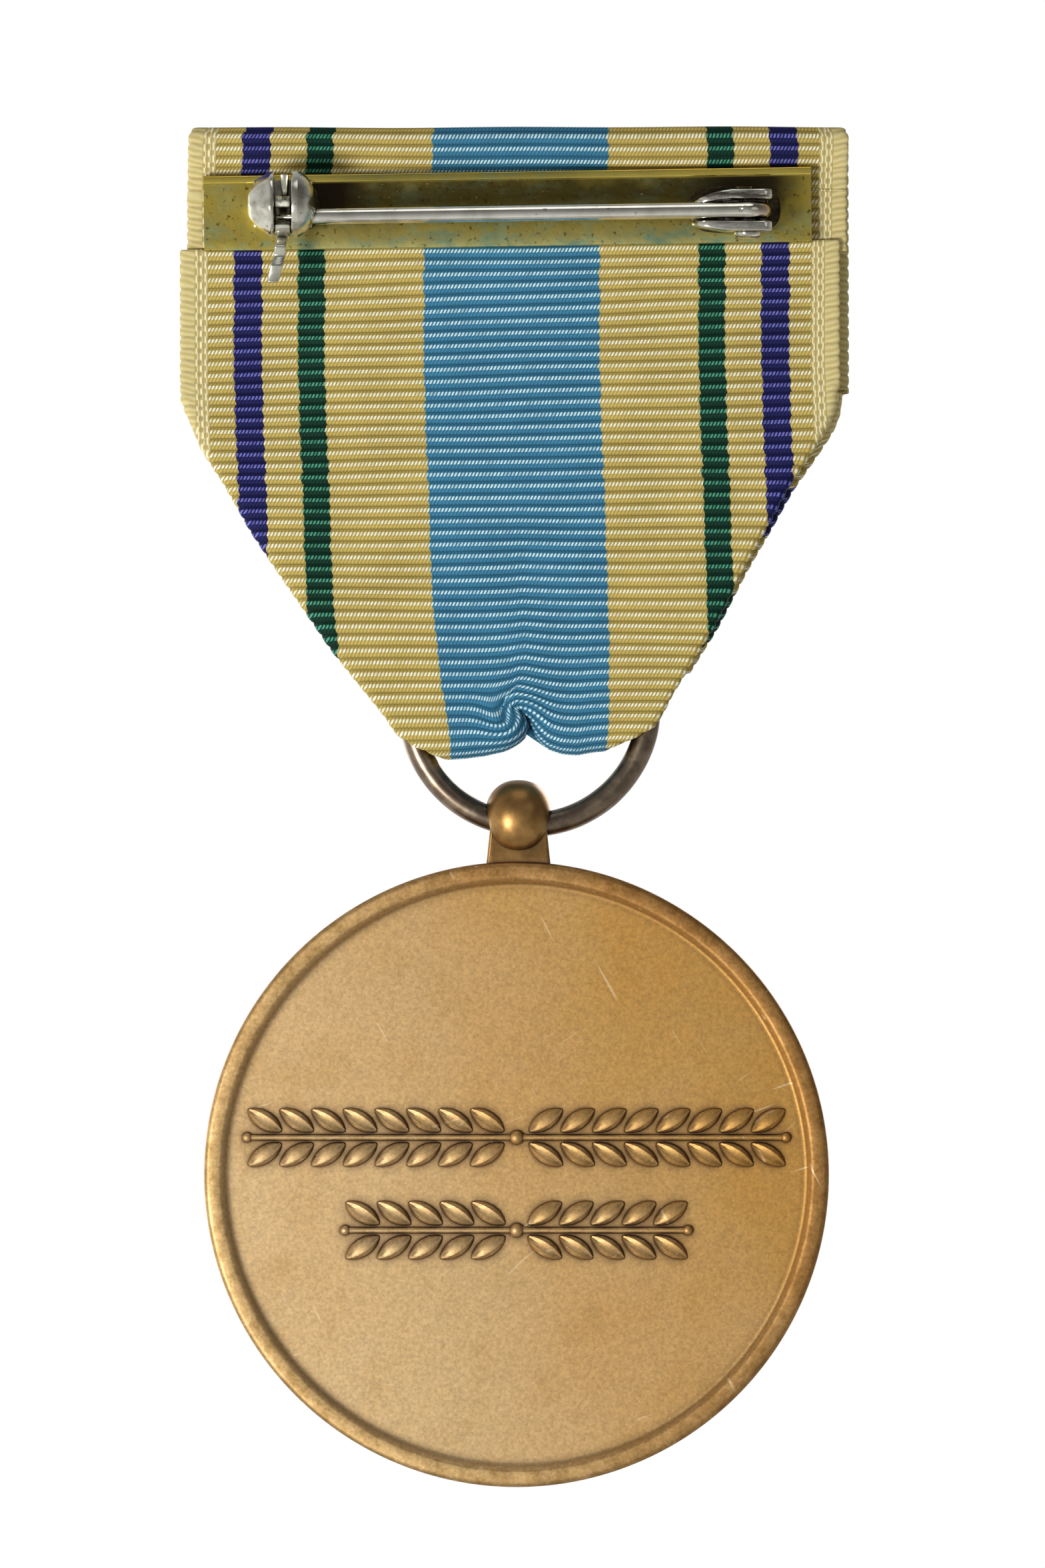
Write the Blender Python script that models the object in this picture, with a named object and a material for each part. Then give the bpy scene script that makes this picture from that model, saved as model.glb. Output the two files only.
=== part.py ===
"""A struck bronze service medal on a wire ring, a folded ribbon drape and a brass brooch with a safety pin.

Run it in Blender. Sizes below are in millimetres; meshes are made in metres.
X runs along the brooch, +Z is up the ribbon, and -Y is the side that lies on the wearer's cloth.
The origin is on the medal's centre line, in the back plate's cloth-side face.
"""

import math

import bmesh
import bpy
from mathutils import Matrix, Vector

MM = 0.001

# The medallion and its lug
DISC_RADIUS = 17.5
DISC_THICKNESS = 3.0
RIM_WIDTH = 0.95
FIELD_DEPTH = 0.4
EDGE_ROUND = 0.28
DISC_CENTRE_Z = -54.03
MID_Y = 1.9  # the plane in which the disc, the ring and the folded ribbon hang
LUG_X = 0.11
LUG_HALF_WIDTH = 1.68
BALL_RADII = (1.68, 1.95, 1.99)
BALL_Z = -33.8
LUG_DEPTH = 2.6
LUG_HOLE_RADIUS = 1.05

# The suspension ring
RING_CENTRE = (0.72, MID_Y, -27.75)
RING_RADIUS = 6.7
WIRE_RADIUS = 0.68
RIBBON_ROOM = 0.27  # room between the wire and the ribbon's layers

# The ribbon
RIBBON_LEFT = -18.8
RIBBON_RIGHT = 18.45
CLOTH = 0.45  # one layer of ribbon
TWO_LAYERS = 0.8  # a panel and the corner that is folded in against it
WRAP_BOTTOM = -2.3
DRAPE_TOP = -2.8
FOLD_BOTTOM = -30.9
FLEX_Y = 2.25
FLEX_Z = -2.55

# The brass back plate and the bar inside the ribbon
PLATE_LEFT = -17.5
PLATE_RIGHT = 16.5
PLATE_HALF_HEIGHT = 2.1
PLATE_SHEET = 0.35
LIP_DEPTH = 0.5
LIP_SHEET = 0.35
BAR_HALF_LENGTH = 17.7
BAR_LOW = (1.2, -2.2)
BAR_HIGH = (1.8, 3.95)

# The hinge and the pin
PIN_Y = -2.1
RIVET_X = 12.9
EAR_TOP = (0.41, 0.97)
EAR_BOTTOM = (-1.38, -0.8)
BASE_TOP = -0.42  # the brackets' faces towards the plate
BASE_SHEET = 0.3
RIVET_RADIUS = 0.42
RIVET_HOLE = 0.5
RIVET_HEAD = 0.75
EYE_RADIUS = 1.25
EYE_Z = (-0.65, 0.25)
NEEDLE_RADIUS = 0.44
NEEDLE_START = (12.0, -0.27)
NEEDLE_END = (-13.4, -0.57)
NEEDLE_TAPER = 3.6
NEEDLE_BOW = 0.2

# The catch
CHEEK_RADIUS = 1.8
CHEEK_CENTRE = (-2.25, 0.15)  # Y, Z
CHEEK_RIM = 0.45
CHEEK_DOME = 1.5
CHEEK_FACES = (-13.51, -12.54)  # the inner faces' X, left and right
ROLLER_X = (-13.43, -12.62)
ROLLER_AXIS = (PIN_Y, -0.55)
ROLLER_OUTER = 1.2
ROLLER_INNER = 0.62
MOUTH_HALF_WIDTH = 0.5
TAIL_END_Z = -4.35
NEEDLE_SLOT_HALF_WIDTH = 0.55


def clear_scene():
    for obj in list(bpy.data.objects):
        bpy.data.objects.remove(obj)


def finish_of(name, colour, roughness, metallic):
    """A plain surface: colour, roughness, and 1 for metal or 0 for cloth."""
    material = bpy.data.materials.new(name)
    material.use_nodes = True
    shader = material.node_tree.nodes["Principled BSDF"]
    shader.inputs["Base Color"].default_value = (*colour, 1)
    shader.inputs["Roughness"].default_value = roughness
    shader.inputs["Metallic"].default_value = metallic
    return material


def arc(centre, radius, start, end, steps):
    """Points on a circle from one angle to another, in degrees."""
    points = []
    for i in range(steps + 1):
        angle = math.radians(start + (end - start) * i / steps)
        points.append((centre[0] + radius * math.cos(angle), centre[1] + radius * math.sin(angle)))
    return points


def object_from(bm, name):
    """The bmesh, in millimetres, as an object whose faces point out."""
    bmesh.ops.remove_doubles(bm, verts=bm.verts, dist=0.0005)
    bmesh.ops.recalc_face_normals(bm, faces=bm.faces)
    bmesh.ops.scale(bm, vec=(MM, MM, MM), verts=bm.verts)
    mesh = bpy.data.meshes.new(name)
    bm.to_mesh(mesh)
    bm.free()
    mesh.shade_smooth()
    mesh.set_sharp_from_angle(angle=math.radians(35))
    obj = bpy.data.objects.new(name, mesh)
    bpy.context.scene.collection.objects.link(obj)
    return obj


def prism(name, outline, low, high, along):
    """The outline extruded from low to high. Its points are (Y, Z), (X, Z) or (X, Y) for along X, Y or Z."""
    spread = {
        "X": lambda p: (low, p[0], p[1]),
        "Y": lambda p: (p[0], low, p[1]),
        "Z": lambda p: (p[0], p[1], low),
    }[along]
    step = Vector([high - low if letter == along else 0 for letter in "XYZ"])
    bm = bmesh.new()
    face = bm.faces.new([bm.verts.new(spread(p)) for p in outline])
    made = bmesh.ops.extrude_face_region(bm, geom=[face])
    moved = [v for v in made["geom"] if isinstance(v, bmesh.types.BMVert)]
    bmesh.ops.translate(bm, vec=step, verts=moved)
    return object_from(bm, name)


def turned(name, profile, centre, along, steps):
    """The profile's (radius, distance along the axis) points spun round an axis through centre."""
    axis = {"X": Vector((1, 0, 0)), "Y": Vector((0, 1, 0)), "Z": Vector((0, 0, 1))}[along]
    out = Vector((0, 0, 1)) if along != "Z" else Vector((1, 0, 0))
    bm = bmesh.new()
    start = [bm.verts.new(Vector(centre) + out * r + axis * h) for r, h in profile]
    edges = [bm.edges.new(pair) for pair in zip(start, start[1:])]
    bmesh.ops.spin(bm, geom=start + edges, cent=centre, axis=axis, angle=math.tau, steps=steps, use_merge=True)
    return object_from(bm, name)


def box(name, low, high):
    outline = [(low[0], low[1]), (high[0], low[1]), (high[0], high[1]), (low[0], high[1])]
    return prism(name, outline, low[2], high[2], "Z")


def combine(obj, other, operation):
    """Joins, cuts or crosses obj with a helper, which isn't shown."""
    other.hide_render = True
    other.display_type = "WIRE"
    modifier = obj.modifiers.new(other.name, "BOOLEAN")
    modifier.operation = operation
    modifier.solver = "EXACT"
    modifier.object = other
    return obj


def pivot(name, place, parent=None):
    """An empty on a joint's axis, in millimetres."""
    empty = bpy.data.objects.new(name, None)
    bpy.context.scene.collection.objects.link(empty)
    empty.parent = parent
    start = Vector(place) * MM
    empty.location = start - (Vector(parent["place"]) if parent else Vector())
    empty["place"] = start
    return empty


def fit(obj, material, empty):
    """Gives obj its finish and hangs it, where it is, on the empty of its body."""
    obj.data.materials.append(material)
    start = Vector(empty["place"])
    obj.data.transform(Matrix.Translation(-start))
    obj.parent = empty
    return obj


def back_plate(material, body):
    """A folded brass channel: a flat web with two short lips that press into the ribbon."""
    h = PLATE_HALF_HEIGHT
    r = EDGE_ROUND
    outline = arc((r, -h + r), r, 180, 270, 4)
    outline += [(LIP_DEPTH, -h), (LIP_DEPTH, -h + LIP_SHEET), (PLATE_SHEET, -h + LIP_SHEET)]
    outline += [(PLATE_SHEET, h - LIP_SHEET), (LIP_DEPTH, h - LIP_SHEET), (LIP_DEPTH, h)]
    outline += arc((r, h - r), r, 90, 180, 4)
    return fit(prism("back_plate", outline, PLATE_LEFT, PLATE_RIGHT, "X"), material, body)


def inner_bar(material, body):
    """The flat bar that the ribbon is folded over."""
    low = (-BAR_HALF_LENGTH, BAR_LOW[0], BAR_LOW[1])
    high = (BAR_HALF_LENGTH, BAR_HIGH[0], BAR_HIGH[1])
    return fit(box("inner_bar", low, high), material, body)


def ribbon_wrap(material, body):
    """The ribbon over the bar: up the front, over the top and down behind the plate."""
    front = MID_Y + 0.55
    top = 4.65
    round_ = 0.7
    behind = 0.2
    tucked = 0.62
    outline = [(front, WRAP_BOTTOM)]
    outline += arc((front - round_, top - round_), round_, 0, 90, 5)
    outline += arc((behind + round_, top - round_), round_, 90, 180, 5)
    outline += [(behind, 2.9), (tucked, 2.35), (tucked, WRAP_BOTTOM)]
    outline += [(tucked + 0.36, WRAP_BOTTOM), (tucked + 0.36, 2.5), (behind + 0.42, 3.0)]
    outline += arc((behind + round_, top - round_), round_ - 0.42, 180, 90, 3)
    outline += arc((front - round_, top - round_), round_ - CLOTH, 90, 0, 3)
    outline += [(front - CLOTH, WRAP_BOTTOM)]
    return fit(prism("ribbon_wrap", outline, -18.45, 18.5, "X"), material, body)


def ribbon_drape(material, body):
    """The hanging ribbon: two panels joined by the fold that passes through the ring, with tapered sides."""
    wall = RIBBON_ROOM + WIRE_RADIUS
    outer = wall + TWO_LAYERS
    fold = (MID_Y, FOLD_BOTTOM + outer)
    side = [(2.45, DRAPE_TOP), (2.55, -8), (3.2, -15), (MID_Y + outer, -20)]
    side += arc(fold, outer, 0, -180, 12)
    side += [(MID_Y - outer, -20), (0.3, -14), (0.5, -7), (0.5, DRAPE_TOP)]
    side += [(0.5 + CLOTH, DRAPE_TOP)]
    side += arc(fold, wall, -180, 0, 8)
    side += [(MID_Y + wall, -20), (2.6, -15), (2.1, -8), (2.45 - CLOTH, DRAPE_TOP)]
    drape = prism("ribbon_drape", side, RIBBON_LEFT, RIBBON_RIGHT, "X")
    face = [(RIBBON_LEFT - 1, 1), (RIBBON_LEFT - 1, -10.5), (RIBBON_LEFT, -10.5)]
    face += [(-18.2, -12.1), (-14.0, -19.4), (-10.6, -24.5), (-7.4, -28.4), (-6.0, -30.1)]
    face += [(-3.8, -31.5), (4.2, -31.5)]
    face += [(5.8, -30.2), (7.9, -29.0), (8.9, -27.3), (13.2, -19.4), (17.8, -11.6)]
    face += [(RIBBON_RIGHT, -9.0), (RIBBON_RIGHT + 1, -9.0), (RIBBON_RIGHT + 1, 1)]
    combine(drape, prism("drape_outline", face, -3, 7, "Y"), "INTERSECT")
    combine(drape, torus("ring_way", WIRE_RADIUS + RIBBON_ROOM - 0.02, 48, 10), "DIFFERENCE")
    return fit(drape, material, body)


def torus(name, wire, around, across):
    """A ring of the given wire radius on the suspension ring's circle."""
    profile = [(RING_RADIUS + x, y) for x, y in arc((0, 0), wire, 0, 360, across)]
    return turned(name, profile, RING_CENTRE, "Y", around)


def suspension_ring(material, body):
    return fit(torus("suspension_ring", WIRE_RADIUS, 56, 10), material, body)


def medallion(material, body):
    """The struck disc with a raised rim on both faces, its lug and the ball that the ring passes through."""
    half = DISC_THICKNESS / 2
    rim = DISC_RADIUS - RIM_WIDTH
    field = half - FIELD_DEPTH
    front = [(0, field), (rim - 0.35, field), (rim, half - 0.06), (rim + 0.12, half)]
    front += arc((DISC_RADIUS - EDGE_ROUND, half - EDGE_ROUND), EDGE_ROUND, 90, 0, 3)
    rear = [(r, -h) for r, h in reversed(front)]
    disc = turned("medallion", front + rear, (0, MID_Y, DISC_CENTRE_Z), "Y", 72)
    lug_low = (LUG_X - LUG_HALF_WIDTH + 0.02, MID_Y - LUG_DEPTH / 2, DISC_CENTRE_Z + DISC_RADIUS - 0.5)
    lug_high = (LUG_X + LUG_HALF_WIDTH - 0.02, MID_Y + LUG_DEPTH / 2, BALL_Z)
    combine(disc, box("lug", lug_low, lug_high), "UNION")
    bm = bmesh.new()
    bmesh.ops.create_uvsphere(bm, u_segments=24, v_segments=12, radius=1)
    bmesh.ops.scale(bm, vec=BALL_RADII, verts=bm.verts)
    bmesh.ops.translate(bm, vec=(LUG_X, MID_Y, BALL_Z), verts=bm.verts)
    combine(disc, object_from(bm, "ball"), "UNION")
    hole = arc((MID_Y, RING_CENTRE[2] - RING_RADIUS), LUG_HOLE_RADIUS, 0, 345, 23)
    combine(disc, prism("ring_hole", hole, LUG_X - 4, LUG_X + 4, "X"), "DIFFERENCE")
    return fit(disc, material, body)


def hinge_bracket(material, body):
    """A folded channel of sheet whose two ears hold the pin's eye."""
    low = EAR_BOTTOM[0]
    high = EAR_TOP[1]
    out = -5
    floor = BASE_TOP - BASE_SHEET
    section = [(BASE_TOP, low), (BASE_TOP, high), (out, high), (out, EAR_TOP[0]), (floor, EAR_TOP[0])]
    section += [(floor, EAR_BOTTOM[1]), (out, EAR_BOTTOM[1]), (out, low)]
    bracket = prism("hinge_bracket", section, 9.0, 15.0, "X")
    ear = [(9.8, 0), (9.8, -1.1), (11.2, -2.6)]
    ear += arc((12.2, -2.5), 0.6, 200, 270, 4)
    ear += arc((13.5, -2.3), 0.8, 270, 360, 5)
    ear += [(14.3, 0)]
    combine(bracket, prism("ear_outline", ear, -3, 3, "Z"), "INTERSECT")
    hole = arc((RIVET_X, PIN_Y), RIVET_HOLE, 0, 340, 17)
    combine(bracket, prism("rivet_hole", hole, -3, 3, "Z"), "DIFFERENCE")
    return fit(bracket, material, body)


def hinge_rivet(material, body):
    """The axle of the pin, headed over outside both ears."""
    top = EAR_TOP[1] + 0.06
    bottom = EAR_BOTTOM[0] - 0.06
    profile = [(0, bottom - 0.26), (RIVET_HEAD - 0.2, bottom - 0.26), (RIVET_HEAD, bottom - 0.1)]
    profile += [(RIVET_HEAD, bottom), (RIVET_RADIUS, bottom), (RIVET_RADIUS, top), (RIVET_HEAD, top)]
    profile += [(RIVET_HEAD, top + 0.1), (RIVET_HEAD - 0.2, top + 0.26), (0, top + 0.26)]
    return fit(turned("hinge_rivet", profile, (RIVET_X, PIN_Y, 0), "Z", 20), material, body)


def pin_stem(material, body):
    """The needle: a flat eye on the rivet, a slightly bowed round shank and a long point."""
    sides = 12
    stations = 14
    length = NEEDLE_START[0] - NEEDLE_END[0]
    bm = bmesh.new()
    rings = []
    for i in range(stations + 1):
        share = i / stations
        x = NEEDLE_START[0] - length * share
        y = PIN_Y - NEEDLE_BOW * math.sin(math.pi * share)
        z = NEEDLE_START[1] + (NEEDLE_END[1] - NEEDLE_START[1]) * share
        left = (x - NEEDLE_END[0]) / NEEDLE_TAPER
        radius = NEEDLE_RADIUS * min(1, 0.2 + 0.8 * left)
        circle = arc((y, z), radius, 0, 360 - 360 / sides, sides - 1)
        rings.append([bm.verts.new((x, a, b)) for a, b in circle])
    for first, second in zip(rings, rings[1:]):
        for k in range(sides):
            j = (k + 1) % sides
            bm.faces.new((first[k], first[j], second[j], second[k]))
    bm.faces.new(rings[0])
    bm.faces.new(rings[-1])
    pin = object_from(bm, "pin_stem")
    eye = arc((RIVET_X, PIN_Y), EYE_RADIUS, 0, 348, 29)
    combine(pin, prism("eye", eye, EYE_Z[0], EYE_Z[1], "Z"), "UNION")
    hole = arc((RIVET_X, PIN_Y), RIVET_HOLE, 0, 340, 17)
    combine(pin, prism("eye_hole", hole, -3, 3, "Z"), "DIFFERENCE")
    return fit(pin, material, body)


def cheek(name, face, outwards):
    """One domed side of the catch, flat towards the pin."""
    profile = [(0, 0), (CHEEK_RADIUS - 0.1, 0), (CHEEK_RADIUS, 0.12), (CHEEK_RADIUS, CHEEK_RIM)]
    for i in range(1, 6):
        angle = math.radians(90 * i / 5)
        height = CHEEK_RIM + (CHEEK_DOME - CHEEK_RIM) * math.sin(angle)
        profile.append((CHEEK_RADIUS * math.cos(angle) if i < 5 else 0, height))
    spun = [(r, h * outwards) for r, h in profile]
    return turned(name, spun, (face, *CHEEK_CENTRE), "X", 28)


def catch_housing(material, body):
    """The fixed part of the safety catch: a foot, two domed cheeks and a stop between them."""
    left = CHEEK_FACES[0] - CHEEK_DOME
    right = CHEEK_FACES[1] + CHEEK_DOME
    foot_low = (left + 0.1, BASE_TOP - BASE_SHEET, -1.3)
    foot_high = (right - 0.1, BASE_TOP, 1.85)
    housing = box("catch_housing", foot_low, foot_high)
    combine(housing, cheek("left_cheek", CHEEK_FACES[0], -1), "UNION")
    combine(housing, cheek("right_cheek", CHEEK_FACES[1], 1), "UNION")
    stop_low = (CHEEK_FACES[0] + 0.34, -2.9, 0.95)
    stop_high = (CHEEK_FACES[1] - 0.2, BASE_TOP - 0.1, 1.8)
    combine(housing, box("stop", stop_low, stop_high), "UNION")
    half = NEEDLE_SLOT_HALF_WIDTH
    slot = arc(ROLLER_AXIS, half, -90, 90, 8) + [(-6, ROLLER_AXIS[1] + half), (-6, ROLLER_AXIS[1] - half)]
    combine(housing, prism("needle_slot", slot, CHEEK_FACES[1] - 0.1, right + 1, "X"), "DIFFERENCE")
    return fit(housing, material, body)


def catch_roller(material, body):
    """The turning part of the catch: an open ring round the needle's point, with a tail to turn it by."""
    y, z = ROLLER_AXIS
    mouth_out = math.degrees(math.asin(MOUTH_HALF_WIDTH / ROLLER_OUTER))
    mouth_in = math.degrees(math.asin(MOUTH_HALF_WIDTH / ROLLER_INNER))
    tail = math.degrees(math.asin(0.2 / ROLLER_OUTER))
    outline = arc(ROLLER_AXIS, ROLLER_OUTER, 180 + mouth_out, 270 - tail, 3)
    outline += [(y - 0.25, z - 2.2), (y - 0.75, z - 2.9), (y - 0.75, TAIL_END_Z + 0.15)]
    outline += [(y - 0.6, TAIL_END_Z), (y - 0.35, TAIL_END_Z + 0.1), (y - 0.33, z - 2.75)]
    outline += [(y + 0.2, z - 2.05)]
    outline += arc(ROLLER_AXIS, ROLLER_OUTER, 270 + tail, 540 - mouth_out, 18)
    outline += arc(ROLLER_AXIS, ROLLER_INNER, 180 - mouth_in, -180 + mouth_in, 14)
    return fit(prism("catch_roller", outline, ROLLER_X[0], ROLLER_X[1], "X"), material, body)


def solder_pad(name, x_low, x_high, z_low, z_high, material, body):
    """The solder that holds a bracket's foot on the plate."""
    round_ = 0.7
    outline = arc((x_low + round_, z_low + round_), round_, 180, 270, 5)
    outline += arc((x_high - round_, z_low + round_), round_, 270, 360, 5)
    outline += arc((x_high - round_, z_high - round_), round_, 0, 90, 5)
    outline += arc((x_low + round_, z_high - round_), round_, 90, 180, 5)
    return fit(prism(name, outline, -0.34, -0.08, "Y"), material, body)


def build():
    clear_scene()
    brass = finish_of("old_brass", (0.42, 0.34, 0.08), 0.3, 1)
    steel = finish_of("plated_steel", (0.62, 0.6, 0.56), 0.25, 1)
    solder = finish_of("solder", (0.3, 0.27, 0.2), 0.45, 1)
    cloth = finish_of("ribbon", (0.66, 0.54, 0.26), 0.75, 0)
    wire = finish_of("dark_bronze", (0.16, 0.11, 0.07), 0.35, 1)
    bronze = finish_of("bronze", (0.4, 0.24, 0.09), 0.38, 1)

    brooch = pivot("brooch", (0, 0, 0))
    drape = pivot("drape_axis", (0, FLEX_Y, FLEX_Z), brooch)
    ring = pivot("ring_axis", RING_CENTRE, drape)
    medal = pivot("lug_axis", (LUG_X, MID_Y, RING_CENTRE[2] - RING_RADIUS), ring)
    pin = pivot("pin_axis", (RIVET_X, PIN_Y, NEEDLE_START[1]), brooch)
    roller = pivot("roller_axis", (ROLLER_X[0], *ROLLER_AXIS), brooch)

    back_plate(brass, brooch)
    inner_bar(brass, brooch)
    ribbon_wrap(cloth, brooch)
    ribbon_drape(cloth, drape)
    hinge_bracket(steel, brooch)
    hinge_rivet(steel, brooch)
    pin_stem(steel, pin)
    catch_housing(steel, brooch)
    catch_roller(steel, roller)
    solder_pad("hinge_solder", 9.3, 15.0, -1.75, 1.5, solder, brooch)
    solder_pad("catch_solder", -15.6, -10.6, -1.7, 1.9, solder, brooch)
    suspension_ring(wire, ring)
    medallion(bronze, medal)


build()
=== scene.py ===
import math

import bmesh
import bpy
import numpy as np
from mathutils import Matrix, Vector


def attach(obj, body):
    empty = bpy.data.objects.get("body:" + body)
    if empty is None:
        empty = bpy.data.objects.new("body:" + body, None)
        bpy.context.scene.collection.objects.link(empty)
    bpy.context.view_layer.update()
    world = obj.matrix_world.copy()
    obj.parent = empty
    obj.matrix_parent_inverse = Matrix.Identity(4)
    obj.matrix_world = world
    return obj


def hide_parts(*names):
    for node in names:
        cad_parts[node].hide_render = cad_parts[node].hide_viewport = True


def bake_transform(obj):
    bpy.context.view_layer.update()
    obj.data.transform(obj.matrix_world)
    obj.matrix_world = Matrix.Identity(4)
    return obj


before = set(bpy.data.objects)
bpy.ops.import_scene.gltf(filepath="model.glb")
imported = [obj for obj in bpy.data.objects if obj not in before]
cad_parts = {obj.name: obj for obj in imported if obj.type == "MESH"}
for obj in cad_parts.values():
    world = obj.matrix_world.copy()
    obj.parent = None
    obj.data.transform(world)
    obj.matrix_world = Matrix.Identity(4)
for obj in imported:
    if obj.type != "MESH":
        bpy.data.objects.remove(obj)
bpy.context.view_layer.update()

mm = 0.001  # sizes below are in millimetres
print("frame loaded:", len(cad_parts), "nodes")


# camera, floor and light

view = {"centre": (0.336, -32.16), "height": 87.76, "distance": 600, "focusY": 0.4, "sensor": 36}


def makeCamera():
    data = bpy.data.cameras.new("camera")
    data.sensor_width = view["sensor"]
    data.lens = view["sensor"] * view["distance"] / view["height"]
    data.clip_start = 0.01
    camera = bpy.data.objects.new("camera", data)
    bpy.context.scene.collection.objects.link(camera)
    x, z = view["centre"]
    camera.location = (x * mm, (view["focusY"] - view["distance"]) * mm, z * mm)
    camera.rotation_euler = (math.radians(90), 0, 0)
    bpy.context.scene.camera = camera


studio = {
    "key": {"place": (-215, -325, -125), "size": 110, "power": 1.15},
    "fill": {"place": (240, -330, 120), "size": 260, "power": 0.06},
    "top": {"place": (20, -120, 330), "size": 220, "power": 0.12},
    "back": {"place": (160, 330, 60), "size": 200, "power": 0.35},
    "backFill": {"place": (-240, 260, -40), "size": 220, "power": 0.25},
    "world": {"level": 0.5, "left": 0.2, "low": 0.3, "front": -0.22},
    "floorZ": -84,
    "floorRadius": 44,
}


def softLight(name, place, size, power):
    data = bpy.data.lights.new(name, "AREA")
    data.shape = "DISK"
    data.size = size * mm
    data.energy = power
    light = bpy.data.objects.new(name, data)
    bpy.context.scene.collection.objects.link(light)
    light.location = Vector(place) * mm
    target = Vector((0, 0, -34)) * mm
    light.rotation_euler = (target - light.location).to_track_quat("-Z", "Y").to_euler()
    light.visible_camera = False


def makeStudio():
    for name in ("key", "fill", "top", "back", "backFill"):
        softLight(name, **studio[name])
    world = bpy.data.worlds.new("studio")
    bpy.context.scene.world = world
    world.use_nodes = True
    nodes, links = world.node_tree.nodes, world.node_tree.links
    around = nodes["Background"]
    ways = nodes.new("ShaderNodeSeparateXYZ")  # brighter from below and from the left, as the key light is
    links.new(nodes.new("ShaderNodeTexCoord").outputs["Generated"], ways.inputs[0])
    levels = studio["world"]
    total = levels["level"]
    for axis, amount in (("X", levels["left"]), ("Y", levels["front"]), ("Z", levels["low"])):
        slope = nodes.new("ShaderNodeMath")
        slope.operation = "MULTIPLY_ADD"
        links.new(ways.outputs[axis], slope.inputs[0])
        slope.inputs[1].default_value = -amount
        if isinstance(total, bpy.types.NodeSocket):
            links.new(total, slope.inputs[2])
        else:
            slope.inputs[2].default_value = total
        total = slope.outputs[0]
    links.new(total, around.inputs["Strength"])
    around.inputs["Color"].default_value = (1, 1, 1, 1)
    seen = nodes.new("ShaderNodeBackground")
    seen.inputs["Color"].default_value = (1, 1, 1, 1)
    mix = nodes.new("ShaderNodeMixShader")
    path = nodes.new("ShaderNodeLightPath")
    links.new(path.outputs["Is Camera Ray"], mix.inputs["Fac"])
    links.new(around.outputs[0], mix.inputs[1])
    links.new(seen.outputs[0], mix.inputs[2])
    links.new(mix.outputs[0], nodes["World Output"].inputs["Surface"])
    bpy.context.scene.view_settings.view_transform = "Standard"
    size, place = studio["floorRadius"] * mm, (0, 0, studio["floorZ"] * mm)
    bpy.ops.mesh.primitive_cylinder_add(vertices=96, radius=size, depth=2 * mm, location=place)
    floor = bpy.context.object
    floor.name = "floor"
    pale = bpy.data.materials.new("paleFloor")
    pale.use_nodes = True
    pale.node_tree.nodes["Principled BSDF"].inputs["Base Color"].default_value = (0.86, 0.85, 0.83, 1)
    pale.node_tree.nodes["Principled BSDF"].inputs["Roughness"].default_value = 0.7
    floor.data.materials.append(pale)


makeCamera()
makeStudio()
print("camera and light made")


# node helpers


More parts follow.
